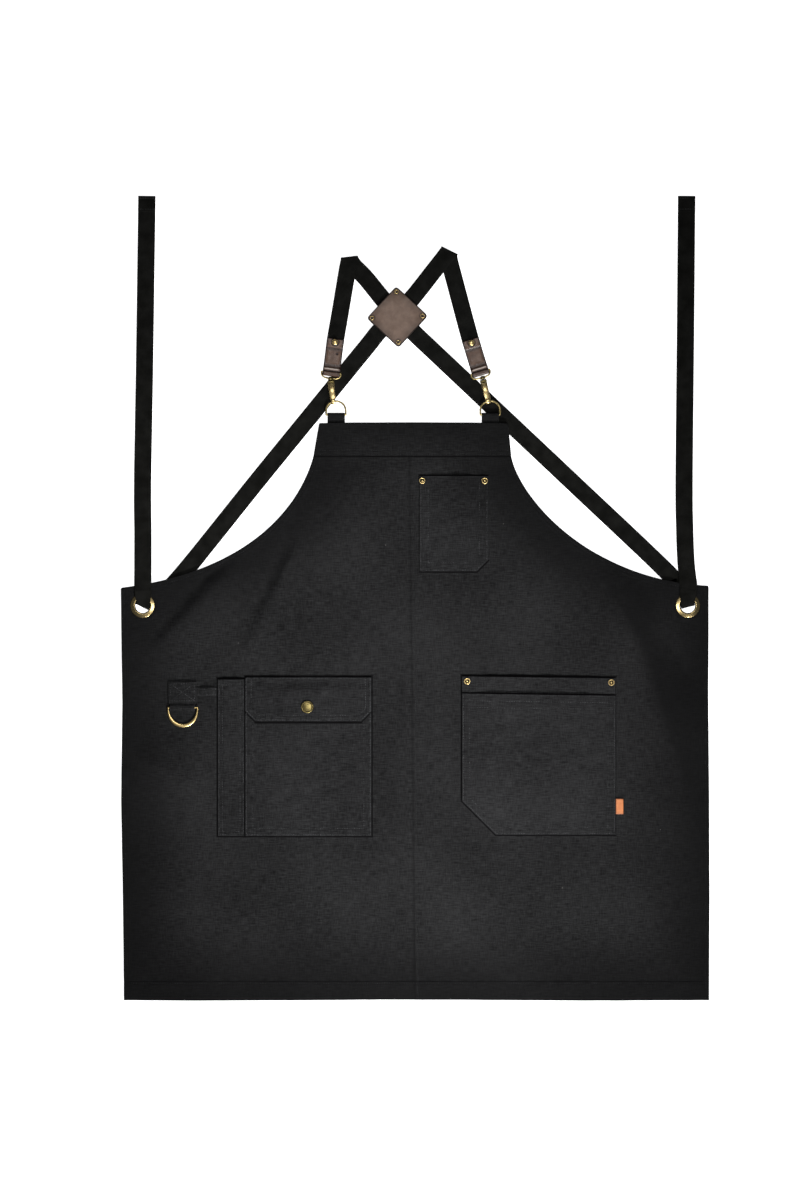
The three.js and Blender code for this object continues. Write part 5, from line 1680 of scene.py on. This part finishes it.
def build_strap(side):
    sections = strap_sections(side)
    middle = (sections[:, 0] + sections[:, 1]) / 2
    at = run_lengths(middle)
    across = cross_steps(9)
    share = (across[None, :, None] + 1) / 2
    surface = sections[:, :1] * share + sections[:, 1:2] * (1 - share)
    half = np.linalg.norm(sections[:, 0] - sections[:, 1], axis=1)[:, None] / 2
    tooth = np.sin(2 * np.pi * at / RIB_PITCH)[:, None]
    outer = np.sign(across)[None] * (np.abs(across)[None] > 0.9)
    sideways = (sections[:, 0] - sections[:, 1]) / (2 * half)
    surface = surface + sideways[:, None] * (outer * TOOTH * tooth)[..., None]
    thick = WEBBING["thick"] / 2 * np.maximum(0.3, round_off((1 - np.abs(across))[None] * half / 0.7))
    from_end = (at[-1] - at)[:, None]
    hem = TIE_HEM["extra"] * (1 - smooth((from_end - TIE_HEM["long"]) / 1.2))
    ribs = RIB_HEIGHT * np.sin(2 * np.pi * at[:, None] / RIB_PITCH + 1.5 * np.sin(across[None] * 9))
    normal = sections[:, 2][:, None]
    upper = surface + normal * (thick + hem * 2 + ribs)[..., None]
    lower = surface - normal * thick[..., None]
    points = np.concatenate([lower.reshape(-1, 3), upper.reshape(-1, 3)])
    along = np.repeat(at[:, None], len(across), 1)
    uv = np.stack([(across[None] * half).ravel(), along.ravel()], -1) * MM
    faces = slab_faces(len(at), len(across))
    piece = make_piece(f"strap_{side}_webbing", points, faces, WEBBING_BLACK, None, np.tile(uv, (2, 1)))
    finish_piece(piece, "webbing", [f"strap_{side}"])
    tie_stitches(side, middle[-1])


def tie_stitches(side, end):
    """Two rows across the tie's folded end."""
    surface = flat_surface(WEBBING["thick"] + 0.9)
    half = WEBBING["half"] - 1.5
    rows = [(across_line(end[1] - row, end[0] - half, end[0] + half), surface) for row in TIE_ROWS]
    stitches_piece(f"tie_{side}_stitches", rows, 50 + len(side))


for hand in SIDES:
    build_strap(hand)


# Metal

def raised(height, profile):
    return [(radius, height + z) for radius, z in profile]


def turned_metal(node, profile, x, y, material, segments=40, dark=()):
    """A turned fitting; dark lists the inner and outer radii of its dark rings: painted shade in hollows,
    patina in the snap's groove.
    """
    piece = lathe_piece(node + "_metal", profile, x, y, material, segments)
    if dark:
        patina_and_shade_rings(piece, x, y, dark)
    finish_piece(piece, "brass", [node])


def build_jeans_rivets():
    """Rivets with a rolled rim, a sunk floor and a nipple."""
    seat = ON_BODY + CANVAS + GAP
    profile = [
        (0, 0), (1.5, 0),
        *raised(seat, [
            (1.5, 0), (4.35, 0), (4.5, 0.3), (4.45, 0.75), (4.2, 1.15), (3.8, 1.4), (3.3, 1.35),
            (2.9, 1.05), (2.75, 0.5), (1.65, 0.45), (1.5, 0.9), (1.15, 1.35), (0.6, 1.55), (0, 1.55),
        ]),
    ]
    for node, (x, y) in JEANS_RIVETS.items():
        # The sunk floor round the nipple is dark brass, as painted shade
        turned_metal(node, profile, x, y, BRASS_BRIGHT, dark=[(1.45, 3.0)])


def build_tab_rivet(side):
    """A domed cap with a pressed ring, on a shaft through the leather and the strap."""
    low = EYE["z"] - EYE["wire"] - GAP - LEATHER
    seat = low + 2 * (LEATHER + GAP) + WEBBING["thick"] + GAP + LEATHER
    profile = [
        (0, low), (2.8, low), (1.3, low + 1.5),
        *raised(seat, [
            (1.3, 0), (3.9, 0), (4.0, 0.35), (3.85, 0.8), (3.4, 1.15), (2.6, 1.5), (1.6, 1.72),
            (0.8, 1.8), (0, 1.82),
        ]),
    ]
    turned_metal(f"tab_rivet_{side}", profile, *SIDES[side]["rivet"], BRASS_BRIGHT)


def build_patch_rivets():
    """Tubular rivets with an open middle, one in each corner of the patch."""
    seat = PATCH["back_thick"] + GAP + PATCH["stand_off"] + LEATHER + 0.8
    profile = [
        (0, 0), (2.2, 0), (1.9, 2.0),
        *raised(seat, [
            (1.9, 0), (3.0, 0), (3.15, 0.3), (2.85, 0.75), (2.5, 1.0), (2.1, 0.9), (1.8, 0.4),
            (1.7, -0.8), (1.1, -1.6), (0, -1.7),
        ]),
    ]
    corners = {"north": (1, 1), "west": (-1, 1), "south": (-1, -1), "east": (1, -1)}
    for name, (a, b) in corners.items():
        x, y = patch_place(a * PATCH["rivet"], b * PATCH["rivet"])
        # The open middle is dark brass, as painted shade
        turned_metal(f"patch_rivet_{name}", profile, x, y, BRASS_BRIGHT, 28, [(0, 1.85)])


def build_snap():
    """The snap, fastened: a plain cap with a rolled rim, and the stud that it holds."""
    plateau = ON_BODY + POUCH["swell"]
    pouch_top = plateau + CANVAS
    seat = pouch_top + GAP + CANVAS + GAP
    post = SNAP["post"]
    bore = post + GAP
    base = plateau - GAP
    cap = [
        (bore, pouch_top + 0.25), (4, pouch_top + 0.25), (4, seat), (8.3, seat), (8.5, seat + 0.4),
        (8.4, seat + 1.0), (8.0, seat + 1.5), (7.4, seat + 1.72), (6.8, seat + 1.6), (6.4, seat + 1.35),
        (5.8, seat + 1.4), (4.2, seat + 1.7), (2.0, seat + 1.9), (0, seat + 1.95), (0, seat + 0.7),
        (bore, seat + 0.7), (bore, pouch_top + 0.25),
    ]
    stud = [
        (0, base - 1.1), (5.8, base - 1.1), (6, base - 0.8), (6, base), (post, base), (post, seat + 0.2),
        (1.9, seat + 0.35), (0, seat + 0.35),
    ]
    turned_metal("snap_cap", cap, SNAP["x"], SNAP["y"], BRASS_OLIVE, 56, [(6.0, 6.9)])
    turned_metal("snap_stud", stud, SNAP["x"], SNAP["y"], BRASS_ANTIQUE)


def build_grommets():
    """Rolled eyelets with a flat bevelled face and a back washer."""
    back = GROMMET_LIFT - GAP
    front = GROMMET_LIFT + CANVAS + GAP
    profile = [
        (10.5, back - 0.8), (15.3, back - 0.8), (15.5, back - 0.5), (15.5, back), (11.7, back),
        *raised(front, [
            (11.7, 0), (16.3, -0.1), (16.5, 0.1), (16.4, 0.35), (15.9, 0.6), (15.0, 0.88), (13.5, 1.3),
            (12.0, 1.72), (11.5, 1.78), (11.0, 1.6), (10.5, 1.0), (10.2, 0.3), (10, -0.5),
        ]),
        (10, back - 0.2), (10.15, back - 0.6), (10.5, back - 0.8),
    ]
    for side, sign in (("left", -1), ("right", 1)):
        x = sign * GROMMET["x"]
        # The inner wall of the hole is dark brass, as painted shade
        turned_metal(f"grommet_{side}", profile, x, GROMMET["y"], BRASS_AMBER, 72, [(9.9, 10.8)])


def wire_piece(name, loop, half_height, place, material, turn, angle, sides=14):
    points = turn(wire_points(loop, half_height, sides), angle)
    return make_piece(name, points + np.array(place), tube_faces(len(loop), sides, True), material)


def build_tool_ring():
    """A D ring, thickest at the bottom of its bow."""
    half, reach, wire = TOOL_RING["half"], TOOL_RING["reach"], TOOL_RING["wire"]
    loop = [(x, 0, wire) for x in np.linspace(-half, half, 26)[1:-1]]
    for angle in np.linspace(0, np.pi, 73):
        belly = mix(wire, TOOL_RING["belly"], float(smooth(math.sin(angle) * 1.1)))
        loop.append((half * math.cos(angle), -reach * max(0, math.sin(angle)) ** 0.85, belly))
    tilt = math.radians(TOOL_RING["tilt"])
    place = (TOOL_RING["x"], TOOL_RING["y"], TOOL_RING["z"])
    piece = wire_piece("tool_ring_metal", loop, wire, place, BRASS_BRIGHT, turn_x, tilt)
    finish_piece(piece, "brass", ["tool_ring"], "tool_ring")


def build_bib_ring(side):
    half, wire, leg, reach = BIB_RING["half"], BIB_RING["wire"], BIB_RING["leg"], BIB_RING["reach"]
    loop = [(x, 0, wire) for x in np.linspace(half, -half, 22)]
    loop += [(-half, y, wire) for y in np.linspace(0, leg, 8)[1:-1]]
    for angle in np.linspace(np.pi, 0, 49):
        loop.append((half * math.cos(angle), leg + (reach - leg) * math.sin(angle), wire))
    loop += [(half, y, wire) for y in np.linspace(leg, 0, 8)[1:-1]]
    tilt = math.asin((BIB_RING["top_z"] - BIB_RING["bar_z"]) / reach)
    place = (SIDES[side]["ring_x"], BIB_RING["bar_y"], BIB_RING["bar_z"])
    piece = wire_piece(f"bib_ring_{side}_metal", loop, wire, place, BRASS_ANTIQUE, turn_x, tilt)
    finish_piece(piece, "brass", [f"bib_ring_{side}"])


class HookFrame:
    """Places along a hook: distance from its swivel, distance across, and height."""

    def __init__(self, side):
        place = SIDES[side]
        self.origin = np.array(place["swivel"], float)
        self.axis = unit(np.subtract(place["nose"], place["swivel"]))
        self.across = np.array([-self.axis[1], self.axis[0]])
        self.end = float(np.linalg.norm(np.subtract(place["nose"], place["swivel"])))

    def points(self, s, a, z):
        s, a, z = np.broadcast_arrays(s, a, z)
        plan = self.origin + s[..., None] * self.axis + a[..., None] * self.across
        return np.concatenate([plan, z[..., None]], -1).reshape(-1, 3)

    def turned(self, profile, segments=20):
        """Points and faces of a solid turned about the swivel's axis, from (radius, distance) points."""
        profile = np.asarray(profile, float)
        angle = 2 * np.pi * np.arange(segments) / segments
        across = profile[:, :1] * np.cos(angle)
        z = EYE["z"] + profile[:, :1] * np.sin(angle)
        return self.points(profile[:, 1:], across, z), tube_faces(len(profile), segments, False)

    def prism(self, outline, half):
        """Points and faces of an outline of (distance, height) points, extruded across."""
        outline = np.asarray(outline, float)
        count = len(outline)
        s, z = outline.T
        points = np.concatenate([self.points(s, sign * half, z) for sign in (-1, 1)])
        ring = np.arange(count)
        wall = np.stack([ring, np.roll(ring, -1), np.roll(ring, -1) + count, ring + count], -1)
        return points, [wall, ring[None, ::-1], ring[None] + count]


def join_pieces(first, *others):
    with bpy.context.temp_override(active_object=first, selected_editable_objects=[first, *others]):
        bpy.ops.object.join()
    return first


def build_eye(side):
    """A flat D of wire whose bar is rolled in the leather, with a boss that the hook turns in."""
    tab_axis, long = tab_line(side)
    half, wire, bar = EYE["half"], EYE["wire"], EYE["bar"]
    deep = bar + EYE["foot"]
    loop = [(x, bar, wire) for x in np.linspace(-half, half, 22)[1:-1]]
    for angle in np.linspace(0, np.pi, 61):
        flat = np.sign(math.cos(angle)) * abs(math.cos(angle)) ** 0.6
        loop.append((half * flat, bar - deep * max(0, math.sin(angle)) ** 0.7, wire))
    turn = math.atan2(-tab_axis[0], tab_axis[1]) + math.pi
    middle = np.array(SIDES[side]["tab_top"]) + tab_axis * (long + EYE["past_tab"] + bar)
    name = f"hook_eye_{side}_metal"
    ring = wire_piece(name, loop, wire, (*middle, EYE["z"]), BRASS_ANTIQUE, turn_z, turn)
    boss_profile = [(0, -0.5), (2.9, -0.5), (3.7, 0.1), (3.8, 1.0), (3.7, 2.6), (3.2, 3.3), (0, 3.3)]
    boss = make_piece(name + "_boss", *HookFrame(side).turned(boss_profile), BRASS_OLIVE)
    weld(boss)
    finish_piece(join_pieces(ring, boss), "brass", [f"hook_eye_{side}"])


def build_hook(side):
    """A stem with a button, a collar, and a J whose nose covers the lever's tip."""
    hook = HookFrame(side)
    button, stem = HOOK["button"], HOOK["stem"]
    stem_profile = [
        (0, -1.35), (1.3, -1.3), (2.1, -1.1), (button, -0.85), (2.0, -0.65), (stem, -0.6), (stem, 4.4),
        (0, 4.4),
    ]
    collar = [(3.8, 3.4), (4.6, 2.2), (7.6, 2.2), (7.6, 8), (4.6, 8), (3.8, 6.8)]
    low, high = 2.2, 4.2
    bend = [
        (-3.6, low), (-1, 3), (0.9, 5.6), (0.9, 8.6), (-0.2, 10.4), (-2, 11.2), (-6.4, 10.9), (-6.4, 9.7),
        (-2.4, 9.6), (-0.6, 8.4), (-0.6, 5.6), (-1.6, high),
    ]
    outline = [(7, low), *((hook.end + s, z) for s, z in bend), (7, high)]
    name = f"hook_{side}_metal"
    body = make_piece(name, *hook.prism(outline, HOOK["half"]), BRASS_AMBER)
    bevel(body, 0.4)
    neck = make_piece(name + "_collar", *hook.prism(collar, HOOK["collar_half"]), BRASS_OLIVE)
    bevel(neck, 0.7, 3)
    post = make_piece(name + "_stem", *hook.turned(stem_profile), BRASS_AMBER)
    weld(post)
    finish_piece(join_pieces(body, neck, post), "brass", [f"hook_{side}"])


def build_lever(side):
    """The sprung lever: a crowned strip that tapers to the nose."""
    hook = HookFrame(side)
    tip = hook.end - LEVER["tip"]
    s = np.linspace(LEVER["root"], tip, 34)
    stations = [LEVER["root"], *LEVER["middle"], tip]
    across = cross_steps(9)
    half = mix(LEVER["root_half"], LEVER["tip_half"], (s - s[0]) / (s[-1] - s[0]))[:, None]
    fit = np.polynomial.Polynomial.fit
    crown = 0.35 * across[None] ** 2
    soft = 0.45 * (1 - round_off((1 - np.abs(across))[None] * half / 0.5))
    top = fit(stations, LEVER_TOP, 4)(s)[:, None] - crown - soft
    low = fit(stations, LEVER_LOW, 4)(s)[:, None] + soft * 0.6
    x, offset = s[:, None] * np.ones((1, len(across))), across[None] * half
    points = np.concatenate([hook.points(x, offset, low), hook.points(x, offset, top)])
    piece = make_piece(f"hook_lever_{side}_metal", points, slab_faces(len(s), len(across)), BRASS_AMBER)
    finish_piece(piece, "brass", [f"hook_lever_{side}"], f"lever_{side}")


build_jeans_rivets()
build_patch_rivets()
build_snap()
build_grommets()
build_tool_ring()
for hand in SIDES:
    build_tab_rivet(hand)
    build_bib_ring(hand)
    build_eye(hand)
    build_hook(hand)
    build_lever(hand)


# Stage

def aim_light(data, place, target):
    lamp = bpy.data.objects.new(data.name, data)
    lamp.location = place
    lamp.rotation_euler = (Vector(target) - Vector(place)).to_track_quat("-Z", "Y").to_euler()
    bpy.context.scene.collection.objects.link(lamp)


def area_light(name, place, target, size, power):
    data = bpy.data.lights.new(name, "AREA")
    data.shape = "RECTANGLE"
    data.size, data.size_y = size
    data.energy = power
    aim_light(data, place, target)


def spot_light(name, place, target, cone, radius, power):
    """A large soft spot that fades out towards the rim of its cone."""
    data = bpy.data.lights.new(name, "SPOT")
    data.spot_size = math.radians(cone)
    data.spot_blend = 1.0
    data.shadow_soft_size = radius
    data.energy = power
    aim_light(data, place, target)


def build_floor():
    mesh = bpy.data.meshes.new("floor")
    reach = FLOOR["reach"]
    corners = [(-reach, -reach), (reach, -reach), (reach, reach), (-reach, reach)]
    mesh.from_pydata([(*corner, FLOOR["z"]) for corner in corners], [], [(0, 1, 2, 3)])
    paint = {"Roughness": 0.8, "Specular_IOR_Level": 0.1, "Base_Color": (0.9, 0.9, 0.9, 1)}
    shader = Shader("floor_white", **paint, Emission_Color=(1, 1, 1, 1), Emission_Strength=FLOOR["glow"])
    mesh.materials.append(shader.material)
    floor = bpy.data.objects.new("floor", mesh)
    bpy.context.scene.collection.objects.link(floor)


def build_camera():
    data = bpy.data.cameras.new("camera")
    data.lens = LENS
    data.sensor_width = SENSOR
    data.clip_end = 100
    camera = bpy.data.objects.new("camera", data)
    distance = PIXEL * FRAME_TALL * MM * LENS / SENSOR
    camera.location = (VIEW_CENTRE[0] * MM, VIEW_CENTRE[1] * MM, distance)
    bpy.context.scene.collection.objects.link(camera)
    bpy.context.scene.camera = camera


def build_world():
    world = bpy.data.worlds.new("studio")
    world.use_nodes = True
    for socket, value in WORLD.items():
        world.node_tree.nodes["Background"].inputs[socket].default_value = value
    bpy.context.scene.world = world
    bpy.context.scene.view_settings.view_transform = "Standard"


build_floor()
build_camera()
build_world()
spot_light("key", **KEY_LIGHT)
for light, settings in AREA_LIGHTS.items():
    area_light(light, **settings)
